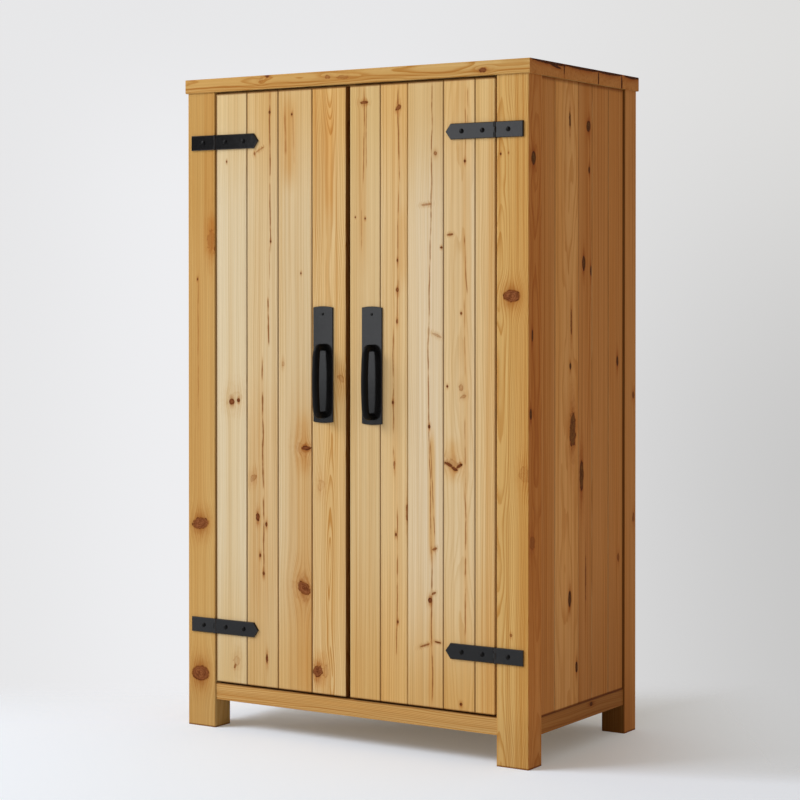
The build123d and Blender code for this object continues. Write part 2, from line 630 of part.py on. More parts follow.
def handle_plate(sign):
    """A back plate with arched ends and a bevelled rim."""
    half_width, half_height = PLATE_WIDTH / 2, PLATE_HEIGHT / 2 - PLATE_END_ARCH
    right = Line((half_width, -half_height), (half_width, half_height))
    upper = ThreePointArc((half_width, half_height), (0, PLATE_HEIGHT / 2), (-half_width, half_height))
    left = Line((-half_width, half_height), (-half_width, -half_height))
    lower = ThreePointArc((-half_width, -half_height), (0, -PLATE_HEIGHT / 2), (half_width, -half_height))
    outline = make_face([*right.edges(), *upper.edges(), *left.edges(), *lower.edges()])
    plane = Plane((handle_x(sign), FACE_Y, PLATE_CENTRE_Z), x_dir=(1, 0, 0), z_dir=(0, -1, 0))
    plate = extrude(plane * outline, PLATE_THICKNESS)
    plate = chamfer(plate.faces().sort_by(Axis.Y)[0].edges(), PLATE_BEVEL)
    plate_screw, feet = handle_screw_places(sign)
    front = FACE_Y - PLATE_THICKNESS
    plate -= bolt_holes([plate_screw], HANDLE_SCREW_RADIUS, BOLT_HOLE_CLEARANCE, front, PLATE_THICKNESS)
    return plate - bolt_holes(feet, GRIP_SCREW_RADIUS, BOLT_HOLE_CLEARANCE, front, PLATE_THICKNESS)


def handle_grip(sign):
    """A round bar, bowed outwards, whose two feet stand on the plate."""
    _, feet = handle_screw_places(sign)
    x, low = feet[0]
    high = feet[1][1]
    plate_y = FACE_Y - PLATE_THICKNESS
    peak_rise = (GRIP_MIDDLE_STANDOFF - GRIP_END_STANDOFF) / (1 - GRIP_BOW_SHARE / 2)
    slope = 2 * peak_rise / GRIP_SPAN
    bow_radius = GRIP_BOW_SHARE * GRIP_SPAN / 2 / slope
    route = [
        (x, plate_y, low),
        (x, plate_y - GRIP_END_STANDOFF, low),
        (x, plate_y - GRIP_END_STANDOFF - peak_rise, (low + high) / 2),
        (x, plate_y - GRIP_END_STANDOFF, high),
        (x, plate_y, high),
    ]
    path = FilletPolyline(*route, radius=[GRIP_BEND_RADIUS, bow_radius, GRIP_BEND_RADIUS])
    section = Plane(route[0], x_dir=(1, 0, 0), z_dir=(0, -1, 0)) * Circle(GRIP_RADIUS)
    depth = GRIP_SCREW_BITE + BOLT_END_CLEARANCE
    holes = bolt_holes(feet, GRIP_SCREW_RADIUS, BOLT_HOLE_CLEARANCE, plate_y - depth, depth)
    return sweep(section, path=path) - holes


def handle_screws(sign):
    """The plate's own screw, and two from behind the door that hold the grip."""
    (plate_x, plate_z), feet = handle_screw_places(sign)
    front = dome_headed(HANDLE_SCREW_HEAD_RADIUS, HANDLE_SCREW_HEAD_HEIGHT,
                        HANDLE_SCREW_RADIUS, HANDLE_SCREW_LENGTH)
    rear_length = DOOR_BOARD_THICKNESS + PLATE_THICKNESS + GRIP_SCREW_BITE
    rear = dome_headed(GRIP_SCREW_HEAD_RADIUS, GRIP_SCREW_HEAD_HEIGHT, GRIP_SCREW_RADIUS, rear_length)
    screws = [Pos(plate_x, FACE_Y - PLATE_THICKNESS, plate_z) * Rot(90, 0, 0) * front]
    screws += [Pos(x, DOOR_BACK_Y, z) * Rot(-90, 0, 0) * rear for x, z in feet]
    return Compound(children=screws)


def catch_places():
    """Centre of each catch along X, by side."""
    return {side: door_edges(sign)[2] + sign * CATCH_INSET for side, sign in SIDES.items()}


def catch_magnets():
    """A magnet housing under the front top rail for each door, with its two pole pieces standing proud."""
    front = DOOR_BACK_Y + STRIKE_THICKNESS + CATCH_GAP
    y_range = (front + CATCH_POLE_REACH, front + CATCH_DEPTH)
    housings = []
    for x in catch_places().values():
        x_range = (x - CATCH_WIDTH / 2, x + CATCH_WIDTH / 2)
        housing = block(x_range, y_range, (TOP_RAIL_Z - CATCH_HEIGHT, TOP_RAIL_Z))
        housing = chamfer(housing.edges().filter_by(Axis.Y).group_by(Axis.Z)[0], CATCH_CHAMFER)
        pole_x = (x - STRIKE_WIDTH / 2, x + STRIKE_WIDTH / 2)
        for drop in CATCH_POLE_DROPS:
            middle = TOP_RAIL_Z - drop
            pole_z = (middle - CATCH_POLE_THICKNESS / 2, middle + CATCH_POLE_THICKNESS / 2)
            housing += block(pole_x, (front, front + 2 * CATCH_POLE_REACH), pole_z)
        housings.append(housing)
    return Compound(children=housings)


def strike_plate(side):
    """A steel plate on the back of a door that the magnet holds."""
    x = catch_places()[side]
    z = TOP_RAIL_Z - CATCH_HEIGHT / 2
    x_range = (x - STRIKE_WIDTH / 2, x + STRIKE_WIDTH / 2)
    z_range = (z - STRIKE_HEIGHT / 2, z + STRIKE_HEIGHT / 2)
    plate = block(x_range, (DOOR_BACK_Y, DOOR_BACK_Y + STRIKE_THICKNESS), z_range)
    return rounded(plate, STRIKE_CORNER_RADIUS, Axis.Y)


def build():
    """Every piece of the armoire by name."""
    pieces = {**posts(), **rails()}
    for side, sign in SIDES.items():
        pieces.update(side_boards(side, sign))
        pieces.update(door_boards(side, sign))
        pieces[f"{side}_door_ledges"] = door_ledges(sign)
        for level, z in STRAP_LEVELS.items():
            pieces[f"{side}_{level}_strap"] = door_strap(sign, z)
        pieces[f"{side}_post_leaves"] = post_leaves(sign)
        pieces[f"{side}_strap_bolts"] = strap_bolts(strap_bolt_places(sign))
        pieces[f"{side}_handle_plate"] = handle_plate(sign)
        pieces[f"{side}_handle_grip"] = handle_grip(sign)
        pieces[f"{side}_handle_screws"] = handle_screws(sign)
        pieces[f"{side}_strike_plate"] = strike_plate(side)
    all_post_bolts = [place for sign in SIDES.values() for place in post_bolt_places(sign)]
    pieces["post_leaf_bolts"] = strap_bolts(all_post_bolts)
    pieces["hinge_pins"] = hinge_pins()
    pieces["top_boards"] = top_boards()
    pieces["top_dowels"] = top_dowels()
    pieces["back_boards"] = back_boards()
    pieces["floor_boards"] = floor_boards()
    pieces["shelf"] = shelf()
    pieces["shelf_cleats"] = shelf_cleats()
    pieces["hanging_rail"] = hanging_rail()
    pieces["rail_sockets"] = rail_sockets()
    pieces["catch_magnets"] = catch_magnets()
    return pieces


os.makedirs("parts", exist_ok=True)
for node, solid in build().items():
    export_step(solid, f"parts/{node}.step")
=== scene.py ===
import math

import bmesh
import bpy
from mathutils import Matrix, Vector


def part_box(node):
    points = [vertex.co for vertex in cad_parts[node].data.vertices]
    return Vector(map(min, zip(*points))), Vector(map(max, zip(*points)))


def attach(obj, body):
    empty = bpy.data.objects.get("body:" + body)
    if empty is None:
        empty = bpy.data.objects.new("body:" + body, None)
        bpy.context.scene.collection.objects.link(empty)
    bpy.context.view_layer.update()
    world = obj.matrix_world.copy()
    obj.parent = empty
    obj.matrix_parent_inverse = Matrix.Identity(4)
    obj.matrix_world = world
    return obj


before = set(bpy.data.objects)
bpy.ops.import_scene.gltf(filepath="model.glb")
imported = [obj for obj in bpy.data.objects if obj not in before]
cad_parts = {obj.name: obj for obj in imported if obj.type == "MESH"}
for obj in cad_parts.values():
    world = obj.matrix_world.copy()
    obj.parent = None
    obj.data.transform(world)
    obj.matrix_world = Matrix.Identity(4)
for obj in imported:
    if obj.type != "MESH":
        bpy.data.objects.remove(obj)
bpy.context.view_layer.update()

MM = 0.001

# The camera stands to the right of the front, a little above the upper ends of the handle plates
CAMERA_ROUND = 32.5
CAMERA_TILT = 0.6
CAMERA_REACH = 5.936
CAMERA_HEIGHT = 1.216
CAMERA_LENS = 96.26
CAMERA_SHIFT = (-0.0117, -0.110)
CAMERA_PIVOT_Y = 14.25 * MM

# Soft lamps: turned to the left of the front, lifted, and how far they stand from the armoire's middle
LAMP_AIM = (0.0, 0.0, 0.95)
KEY_LAMP = dict(turn=53.0, lift=32.0, reach=12.0, size=(6.0, 5.0), power=1130.0)
FRONT_LAMP = dict(turn=27.6, lift=7.1, reach=6.21, size=(1.8, 2.1), power=29.0)
LAMP_COLOUR = (0.97, 1.0, 1.05)
ROOM_LIGHT = 0.42
ROOM_COLOUR = (1.0, 0.925, 0.82, 1.0)
ROOM_BEHIND_CAMERA = (0.05, 0.05, 0.053, 1.0)

# Backdrop and floor
BACKDROP_LEFT = (0.80, 0.80, 0.81, 1.0)
BACKDROP_GLOW = (0.855, 0.857, 0.875, 1.0)
BACKDROP_HIGH_RIGHT = (0.73, 0.725, 0.715, 1.0)
BACKDROP_LOW_RIGHT = (0.57, 0.567, 0.563, 1.0)
FLOOR_RADIUS = 60.0
FLOOR_PAINT = (0.80, 0.876, 0.98, 1.0)
FLOOR_LIFT = (0.119, 0.102, 0.084, 1.0)
# Where the floor fades out: metres behind the armoire's middle, and to its right where that is not in front of it
FADE_BEHIND = (-0.05, 0.75)
FADE_RIGHT = (0.42, 1.2)
FADE_RIGHT_BEHIND = (-0.68, -0.45)
# Where the backdrop glows and dims: unit steps to the right, upwards and away from the camera
GLOW_MIDDLE = -0.07
GLOW_REACH = (0.13, 0.03)
GLOW_RISE = (0.14, 0.04)
DIM_RISE = (0.12, -0.10)
DIM_SIDE = (-0.02, 0.21)
STUDIO_AHEAD = (0.1, -0.35)

# Pine tones, as planed and waxed
CREAM_PINE = (0.66, 0.526, 0.328, 1.0)
WHEAT_PINE = (0.70, 0.55, 0.352, 1.0)
PALE_PINE = (0.645, 0.48, 0.268, 1.0)
TAN_PINE = (0.65, 0.46, 0.228, 1.0)
STRAW_PINE = (0.69, 0.487, 0.242, 1.0)
PALE_STRAW_PINE = (0.695, 0.52, 0.295, 1.0)
GOLD_PINE = (0.672, 0.458, 0.212, 1.0)
HONEY_PINE = (0.56, 0.335, 0.112, 1.0)
# Darker, more saturated tones for the right side and the top's right end: painted shade
RIGHT_SHADED_PINE = (0.61, 0.252, 0.068, 1.0)
RIGHT_SHADED_PALE_PINE = (0.77, 0.367, 0.115, 1.0)
SIDE_PINE = (0.60, 0.33, 0.11, 1.0)
HONEY_PALE_PINE = (0.61, 0.368, 0.124, 1.0)
RAIL_PINE = (0.55, 0.318, 0.108, 1.0)
# Darker tone for the right side rail: painted shade
RIGHT_SHADED_RAIL_PINE = (0.39, 0.155, 0.038, 1.0)
INNER_PINE = (0.62, 0.42, 0.20, 1.0)
SIDE_CONTRAST = 0.72  # of the grain on the armoire's left and right sides
# What grain, knots and wax do to the tone, as multipliers of red, green and blue
EARLYWOOD = (1.03, 1.04, 1.06)
LATEWOOD = (0.79, 0.61, 0.37)
BROAD_BAND = (0.95, 0.87, 0.73)
WARM_BAND = (0.90, 0.72, 0.48)
DEEP_STREAK = (0.86, 0.74, 0.58)
LIGHT_STREAK = (1.06, 1.09, 1.14)
KNOT_FLAME = (0.76, 0.52, 0.28)
KNOT_GLOW = (0.55, 0.29, 0.12)
KNOT_PALE = (1.2, 1.25, 1.3)
KNOT_DEEP = (0.82, 0.75, 0.68)
RIM_STAIN = (0.78, 0.50, 0.25)
RESIN_STAIN = (0.86, 0.60, 0.34)
END_GRAIN = (0.74, 0.62, 0.50)
# Multiplier for the groove and seam mask: dark wax in the joints, and painted shade in the gaps, on chamfers turned
# from the key lamp, under the top and towards the feet
GROOVE_WAX_AND_SHADE = (0.32, 0.20, 0.11)
# Painted shade: darker towards the feet and the bottom of the side boards, a dark line along the floor, in the gaps
# above and below the doors, under the top's overhang and above the side rails: axis, place, reach and strength
POST_PAINTED_SHADE = [("Z", 0.0, 180.0, 0.13), ("Z", 0.0, 6.0, 0.9)]
DOOR_PAINTED_SHADE = [("Z", 1757.0, 6.0, 0.9), ("Z", 129.0, 5.0, 0.8)]
SIDE_PAINTED_SHADE = [("Z", 1764.0, 14.0, 0.65), ("Z", 123.0, 7.0, 1.0), ("Z", 124.0, 420.0, 0.13)]
# Tone ramps along the wood: warmer and darker towards the top, and painted shade, darker and warmer towards the bottom:
# axis, where it starts, where it is full, and the tone's multiplier
UPPER_WARMTH = ("Z", 1400.0, 1740.0, (0.97, 0.86, 0.66))
FAINT_UPPER_WARMTH = ("Z", 1400.0, 1740.0, (0.97, 0.93, 0.80))
DOOR_LOW_SHADE_HIGH_WARMTH = [("Z", 640.0, 100.0, (0.93, 0.79, 0.56)), UPPER_WARMTH]
FAINT_DOOR_LOW_SHADE_HIGH_WARMTH = [DOOR_LOW_SHADE_HIGH_WARMTH[0], FAINT_UPPER_WARMTH]
PALE_DOOR_LOW_SHADE_HIGH_WARMTH = [("Z", 560.0, 60.0, (0.94, 0.84, 0.66)), UPPER_WARMTH]
DEEP_DOOR_LOW_SHADE_HIGH_WARMTH = DOOR_LOW_SHADE_HIGH_WARMTH + [("Z", 400.0, 120.0, (0.93, 0.85, 0.70))]
LEFT_POST_UPPER_WARMTH = [("Z", 1250.0, 1500.0, (0.93, 0.87, 0.74))]
KNOT_BROWN = (0.225, 0.072, 0.021, 1.0)
# Darker knot colour on the outer side faces: painted shade set for the shaded right side, used on the left side too
SIDE_KNOT_SHADED = (0.145, 0.054, 0.010, 1.0)
KNOT_RIM = (0.060, 0.014, 0.003, 1.0)
RESIN = (0.21, 0.075, 0.017, 1.0)
PINE_GLOSS = 0.06
PINE_RELIEF = dict(distance=0.0006, strength=0.5)
BOARD_SHIFT = (0.337, 1.913)  # across and along the grain, from one board of a panel to the next
SCATTER_CELLS = (6.5, 2.3)  # to a metre across and along a board, each with one knot at most

# Metal and moulded pieces, from their darker to their paler colour
IRON_DARK = (0.0034, 0.0031, 0.0030, 1.0)
IRON_PALE = (0.0078, 0.0071, 0.0070, 1.0)
IRON_EDGE = (0.040, 0.029, 0.023, 1.0)
STEEL_DARK = (0.47, 0.47, 0.46, 1.0)
STEEL_PALE = (0.62, 0.615, 0.60, 1.0)
HOUSING_DARK = (0.055, 0.030, 0.018, 1.0)
HOUSING_PALE = (0.080, 0.046, 0.028, 1.0)

# Fasteners, with their lengths in millimetres
DOOR_BOARD_COUNTS = {"left": 4, "right": 5}
HALF_LEDGE = 45.0
LEDGE_SCREW_STEP = 22.0  # above and below the middle of a ledge
CLEAT_SCREW_DROP = 11.0
CLEAT_THICKNESS = 20.0
CLEAT_SCREW_SHARES = (0.12, 0.5, 0.88)
SOCKET_FLANGE = 3.0
SOCKET_SCREW_RADIUS = 23.5
SOCKET_SCREW_TURNS = (90, 210, 330)
BACK_BOARD_COUNT = 8
NAIL_SHARES = (0.25, 0.75)
SLOT_TURN = 47.0  # degrees from one head's slot to the next
SCREW_SIZE = (3.8, 1.2)  # radius and rise of a head
SMALL_SCREW_SIZE = (2.6, 0.9)
NAIL_SIZE = (2.4, 0.7)


def put(tree, socket, value):
    if isinstance(value, bpy.types.NodeSocket):
        tree.links.new(value, socket)
    else:
        socket.default_value = value


def add(tree, kind, values=None, **settings):
    made = tree.nodes.new("ShaderNode" + kind)
    for name, setting in settings.items():
        setattr(made, name, setting)
    for name, value in (values or {}).items():
        put(tree, made.inputs[name], value)
    return made


def calc(tree, operation, *values):
    made = add(tree, "Math", operation=operation)
    for socket, value in zip(made.inputs, values):
        put(tree, socket, value)
    return made.outputs[0]


def vector(tree, operation, *values):
    made = add(tree, "VectorMath", operation=operation)
    for socket, value in zip(made.inputs, values):
        put(tree, socket, value)
    return made.outputs[1 if operation in ("LENGTH", "DOT_PRODUCT") else 0]


def parts_of(tree, value):
    return add(tree, "SeparateXYZ", {"Vector": value}).outputs


def joined(tree, across, depth, along):
    return add(tree, "CombineXYZ", {"X": across, "Y": depth, "Z": along}).outputs[0]


def noise(tree, place, detail=2.0, rough=0.5, colour=False):
    values = {"Vector": place, "Scale": 1.0, "Detail": detail, "Roughness": rough}
    return add(tree, "TexNoise", values).outputs[1 if colour else 0]


def line_noise(tree, place, detail=1.0):
    values = {"W": place, "Scale": 1.0, "Detail": detail}
    return add(tree, "TexNoise", values, noise_dimensions="1D").outputs[0]


def smooth(tree, value, low, high):
    values = {"Value": value, "From Min": low, "From Max": high}
    return add(tree, "MapRange", values, interpolation_type="SMOOTHSTEP").outputs[0]


def spread(tree, value, low, high):
    values = {"Value": value, "To Min": low, "To Max": high}
    return add(tree, "MapRange", values).outputs[0]


def tint(tree, amount, first, second, blend="MIX"):
    made = add(tree, "Mix", data_type="RGBA", blend_type=blend)
    for index, value in zip((0, 6, 7), (amount, first, second)):
        put(tree, made.inputs[index], value)
    return made.outputs[2]


def times(tree, colour, red, green, blue):
    return tint(tree, 1.0, colour, (red, green, blue, 1.0), "MULTIPLY")


def new_group(name, given, gives):
    tree = bpy.data.node_groups.new(name, "ShaderNodeTree")
    kinds = {"v": "NodeSocketVector", "f": "NodeSocketFloat", "c": "NodeSocketColor"}
    for label, kind in given:
        tree.interface.new_socket(name=label, in_out="INPUT", socket_type=kinds[kind])
    for label, kind in gives:
        tree.interface.new_socket(name=label, in_out="OUTPUT", socket_type=kinds[kind])
    start = tree.nodes.new("NodeGroupInput")
    end = tree.nodes.new("NodeGroupOutput")
    return tree, start.outputs, end.inputs


def use_group(tree, group, values):
    made = tree.nodes.new("ShaderNodeGroup")
    made.node_tree = group
    for name, value in values.items():
        put(tree, made.inputs[name], value)
    return made.outputs


def pine_grain_group():
    """Growth rings round a leaning, wandering pith, with fibre and broad tone along the board."""
    given = [("Board", "v"), ("Pith", "v"), ("Lean", "v"), ("Wander", "f"), ("Ring", "f"), ("Seed", "f"),
             ("Swerve", "f")]
    gives = [("Latewood", "f"), ("Streak", "f"), ("Fibre", "f"), ("Band", "f")]
    tree, board, out = new_group("pine_grain", given, gives)
    place = vector(tree, "ADD", board["Board"], joined(tree, board["Swerve"], 0.0, 0.0))
    shift = vector(tree, "MULTIPLY", joined(tree, *[board["Seed"]] * 3), (3.1, 5.7, 2.3))
    seeded = vector(tree, "ADD", place, shift)
    wander = noise(tree, vector(tree, "MULTIPLY", seeded, (0.0, 0.0, 1.1)), 2.0, 0.5, True)
    wander = vector(tree, "SUBTRACT", wander, (0.5, 0.5, 0.5))
    wander = vector(tree, "MULTIPLY", wander, joined(tree, board["Wander"], board["Wander"], 0.0))
    along = parts_of(tree, place)["Z"]
    leaning = vector(tree, "MULTIPLY", board["Lean"], joined(tree, along, along, along))
    from_pith = vector(tree, "SUBTRACT", vector(tree, "SUBTRACT", place, board["Pith"]), leaning)
    from_pith = vector(tree, "ADD", vector(tree, "MULTIPLY", from_pith, (1, 1, 0)), wander)
    warp = noise(tree, vector(tree, "MULTIPLY", seeded, (14.0, 14.0, 2.6)), 3.0)
    radius = calc(tree, "MULTIPLY_ADD", warp, 0.014, vector(tree, "LENGTH", from_pith))
    years = calc(tree, "DIVIDE", radius, board["Ring"])
    uneven = line_noise(tree, calc(tree, "MULTIPLY_ADD", radius, 60.0, board["Seed"]))
    years = calc(tree, "MULTIPLY_ADD", uneven, 2.2, years)
    season = calc(tree, "FRACT", years)
    late = calc(tree, "MULTIPLY", smooth(tree, season, 0.42, 0.9), smooth(tree, season, 1.0, 0.94))
    year_seed = calc(tree, "MULTIPLY_ADD", calc(tree, "FLOOR", years), 7.31, board["Seed"])
    late = calc(tree, "MULTIPLY", late, spread(tree, line_noise(tree, year_seed), 0.1, 1.35))
    put(tree, out["Latewood"], late)
    put(tree, out["Streak"], noise(tree, vector(tree, "MULTIPLY", seeded, (105, 105, 0.8)), 3.0, 0.55))
    put(tree, out["Fibre"], noise(tree, vector(tree, "MULTIPLY", seeded, (330, 330, 1.8)), 2.0, 0.6))
    put(tree, out["Band"], noise(tree, vector(tree, "MULTIPLY", seeded, (13, 13, 0.55)), 2.0))
    return tree


KNOT_MASKS = ("Heart", "Rim", "Halo", "Swerve")
KNOT_USUAL = (0.0, 0.4, 1.0)  # tilt, raggedness and strength of a plain round knot


def knot_profile(tree, across, along, width, height, mottle, ragged, strength, before, out):
    """Heart, rim and halo masks of one knot, and how far the grain swerves round it."""
    side = calc(tree, "DIVIDE", across, width)
    rise = calc(tree, "DIVIDE", along, height)
    inner = vector(tree, "LENGTH", joined(tree, side, rise, 0.0))
    outer = vector(tree, "LENGTH", joined(tree, side, calc(tree, "MULTIPLY", rise, 0.5), 0.0))
    rough = calc(tree, "MULTIPLY", calc(tree, "SUBTRACT", mottle, 0.5), ragged)
    inner = calc(tree, "ADD", rough, inner)
    heart = smooth(tree, inner, 1.2, 0.78)
    values = {"Value": calc(tree, "MINIMUM", width, height), "From Min": 0.004, "From Max": 0.012,
              "To Min": -0.9, "To Max": 0.72}
    rim_start = add(tree, "MapRange", values).outputs[0]
    rim = calc(tree, "MULTIPLY", smooth(tree, inner, rim_start, 0.96), smooth(tree, inner, 1.18, 0.98))
    rim = calc(tree, "MULTIPLY", rim, spread(tree, smooth(tree, mottle, 0.62, 0.40), 0.25, 1.0))
    years = calc(tree, "FRACT", calc(tree, "MULTIPLY_ADD", inner, 3.0, calc(tree, "MULTIPLY", mottle, 2.0)))
    years = calc(tree, "MULTIPLY", smooth(tree, years, 0.45, 0.85), smooth(tree, years, 1.0, 0.9))
    years = calc(tree, "MULTIPLY", years, smooth(tree, inner, 1.08, 0.85))
    rim = calc(tree, "MAXIMUM", rim, calc(tree, "MULTIPLY", years, 0.75))
    halo = smooth(tree, calc(tree, "MULTIPLY_ADD", rough, 1.6, outer), 2.6, 0.4)
    swell = calc(tree, "EXPONENT", calc(tree, "MULTIPLY", calc(tree, "POWER", outer, 2.0), -0.42))
    faint = calc(tree, "SQRT", strength)
    swerve = calc(tree, "MULTIPLY", calc(tree, "MULTIPLY", across, -0.85), calc(tree, "MULTIPLY", swell, faint))
    solid = calc(tree, "POWER", strength, 2.5)
    for name, mask, amount in (("Heart", heart, solid), ("Rim", rim, strength), ("Halo", halo, faint)):
        put(tree, out[name], calc(tree, "MAXIMUM", calc(tree, "MULTIPLY", mask, amount), before[name]))
    put(tree, out["Swerve"], calc(tree, "ADD", swerve, before["Swerve"]))


def knot_group():
    """One knot at a set place on a board, laid over the knots before it."""
    given = [("Board", "v"), ("Across", "f"), ("Along", "f"), ("Half Width", "f"), ("Half Height", "f"),
             ("Tilt", "f"), ("Mottle", "f"), ("Ragged", "f"), ("Strength", "f")]
    masks = [(name, "f") for name in KNOT_MASKS]
    tree, knot, out = new_group("pine_knot", given + masks, masks)
    place = parts_of(tree, knot["Board"])
    across = calc(tree, "SUBTRACT", place["X"], knot["Across"])
    along = calc(tree, "SUBTRACT", place["Z"], knot["Along"])
    along = calc(tree, "SUBTRACT", along, calc(tree, "MULTIPLY", across, knot["Tilt"]))
    knot_profile(tree, across, along, knot["Half Width"], knot["Half Height"], knot["Mottle"],
                 knot["Ragged"], knot["Strength"], knot, out)
    return tree


def scattered_knots_group():
    """Small knots here and there, for the boards whose faces show no marked knot."""
    given = [("Board", "v"), ("Seed", "f"), ("Share", "f"), ("Mottle", "f")]
    tree, wood, out = new_group("scattered_knots", given, [(name, "f") for name in KNOT_MASKS])
    place = parts_of(tree, wood["Board"])
    cells_across, cells_along = SCATTER_CELLS
    flat = joined(tree, calc(tree, "MULTIPLY_ADD", place["X"], cells_across, calc(tree, "MULTIPLY", wood["Seed"], 7.7)),
                  calc(tree, "MULTIPLY_ADD", place["Z"], cells_along, calc(tree, "MULTIPLY", wood["Seed"], 3.3)), 0.0)
    cell = add(tree, "TexVoronoi", {"Vector": flat, "Scale": 1.0, "Randomness": 0.9},
               voronoi_dimensions="2D").outputs
    away = parts_of(tree, vector(tree, "SUBTRACT", flat, cell["Position"]))
    lot = parts_of(tree, cell["Color"])
    present = calc(tree, "LESS_THAN", lot["X"], wood["Share"])
    size = calc(tree, "MULTIPLY_ADD", calc(tree, "POWER", lot["Y"], 2.0), 0.013, 0.005)
    size = calc(tree, "MULTIPLY_ADD", size, present, 0.0002)
    across = calc(tree, "DIVIDE", away["X"], cells_across)
    along = calc(tree, "DIVIDE", away["Y"], cells_along)
    before = dict.fromkeys(KNOT_MASKS, 0.0)
    knot_profile(tree, across, along, size, size, wood["Mottle"], 0.5, present, before, out)
    return tree


def resin_streak_group():
    """A thin, broken resin line that wanders along the grain."""
    given = [("Board", "v"), ("Across", "f"), ("Lean", "f"), ("Middle", "f"), ("Half Length", "f"),
             ("Width", "f"), ("Strength", "f"), ("Seed", "f"), ("Resin", "f")]
    tree, line, out = new_group("resin_streak", given, [("Resin", "f")])
    place = parts_of(tree, line["Board"])
    along = calc(tree, "SUBTRACT", place["Z"], line["Middle"])
    drift = line_noise(tree, calc(tree, "MULTIPLY_ADD", place["Z"], 5.0, line["Seed"]), 3.0)
    drift = calc(tree, "MULTIPLY", calc(tree, "SUBTRACT", drift, 0.5), 0.009)
    centre = calc(tree, "MULTIPLY_ADD", along, line["Lean"], line["Across"])
    away = calc(tree, "SUBTRACT", place["X"], calc(tree, "ADD", centre, drift))
    thick = line_noise(tree, calc(tree, "MULTIPLY_ADD", place["Z"], 31.0, line["Seed"]), 3.0)
    width = calc(tree, "MULTIPLY", line["Width"], spread(tree, thick, 0.5, 1.4))
    mask = calc(tree, "POWER", calc(tree, "DIVIDE", away, width), 2.0)
    mask = calc(tree, "EXPONENT", calc(tree, "MULTIPLY", mask, -1.0))
    broken = line_noise(tree, calc(tree, "MULTIPLY_ADD", place["Z"], 13.0, line["Seed"]), 3.0)
    mask = calc(tree, "MULTIPLY", mask, spread(tree, smooth(tree, broken, 0.30, 0.56), 0.3, 1.0))
    ends = smooth(tree, calc(tree, "DIVIDE", calc(tree, "ABSOLUTE", along), line["Half Length"]), 1.05, 0.75)
    mask = calc(tree, "MULTIPLY", calc(tree, "MULTIPLY", mask, ends), line["Strength"])
    put(tree, out["Resin"], calc(tree, "MAXIMUM", mask, line["Resin"]))
    return tree


def pine_finish_group():
    """Colour, roughness and relief of waxed pine from the masks of its grain and knots, with dark wax and painted shade
    in its grooves and seams.
    """
    masks = ["Latewood", "Streak", "Fibre", "Band", "Mottle", "Heart", "Rim", "Halo", "Resin", "End", "Wax And Shade"]
    given = [("Tone", "c"), ("Knot", "c"), ("Contrast", "f")] + [(name, "f") for name in masks]
    gives = [("Color", "c"), ("Roughness", "f"), ("Height", "f")]
    tree, wood, out = new_group("pine_finish", given, gives)
    tone = wood["Tone"]
    rings = calc(tree, "MULTIPLY", wood["Latewood"], wood["Contrast"])
    colour = tint(tree, rings, times(tree, tone, *EARLYWOOD), times(tree, tone, *LATEWOOD))
    lively = spread(tree, wood["Contrast"], 0.12, 1.0)
    broad = calc(tree, "MULTIPLY", smooth(tree, wood["Band"], 0.42, 0.66), spread(tree, wood["Contrast"], 0.5, 1.0))
    colour = tint(tree, broad, colour, times(tree, colour, *BROAD_BAND))
    deep = calc(tree, "MULTIPLY", smooth(tree, wood["Streak"], 0.47, 0.68), lively)
    colour = tint(tree, deep, colour, times(tree, colour, *DEEP_STREAK))
    light = calc(tree, "MULTIPLY", smooth(tree, wood["Streak"], 0.48, 0.31), lively)
    colour = tint(tree, light, colour, times(tree, colour, *LIGHT_STREAK))
    fine = spread(tree, wood["Fibre"], 0.89, 1.11)
    colour = vector(tree, "MULTIPLY", colour, joined(tree, fine, fine, fine))
    flame = calc(tree, "MULTIPLY", wood["Halo"], spread(tree, wood["Latewood"], 0.38, 0.9))
    colour = tint(tree, flame, colour, times(tree, tone, *KNOT_FLAME))
    close = calc(tree, "MULTIPLY", calc(tree, "POWER", wood["Halo"], 5.0), 0.75)
    colour = tint(tree, close, colour, times(tree, tone, *KNOT_GLOW))
    colour = tint(tree, wood["Resin"], colour, times(tree, colour, *RESIN_STAIN))
    colour = tint(tree, calc(tree, "POWER", wood["Resin"], 1.8), colour, RESIN)
    pale = times(tree, wood["Knot"], *KNOT_PALE)
    heart = tint(tree, smooth(tree, wood["Mottle"], 0.42, 0.60), pale, times(tree, wood["Knot"], *KNOT_DEEP))
    colour = tint(tree, wood["Heart"], colour, heart)
    colour = tint(tree, wood["Rim"], colour, times(tree, colour, *RIM_STAIN))
    colour = tint(tree, calc(tree, "MULTIPLY", calc(tree, "POWER", wood["Rim"], 2.2), 0.85), colour, KNOT_RIM)
    colour = tint(tree, wood["End"], colour, times(tree, colour, *END_GRAIN))
    # Dark wax in the joints and painted shade in the gaps and on the chamfers
    colour = tint(tree, wood["Wax And Shade"], colour, times(tree, colour, *GROOVE_WAX_AND_SHADE))
    put(tree, out["Color"], colour)
    polish = calc(tree, "MULTIPLY_ADD", wood["Latewood"], -0.06, 0.56)
    polish = calc(tree, "MULTIPLY_ADD", wood["Fibre"], 0.08, polish)
    put(tree, out["Roughness"], calc(tree, "MULTIPLY_ADD", wood["Heart"], 0.06, polish))
    relief = calc(tree, "MULTIPLY_ADD", wood["Fibre"], 0.35, calc(tree, "MULTIPLY", wood["Latewood"], 0.5))
    put(tree, out["Height"], calc(tree, "MULTIPLY_ADD", wood["Rim"], -0.8, relief))
    return tree


def new_material(name):
    material = bpy.data.materials.new(name)
    material.use_nodes = True
    material.node_tree.nodes.clear()
    return material, material.node_tree


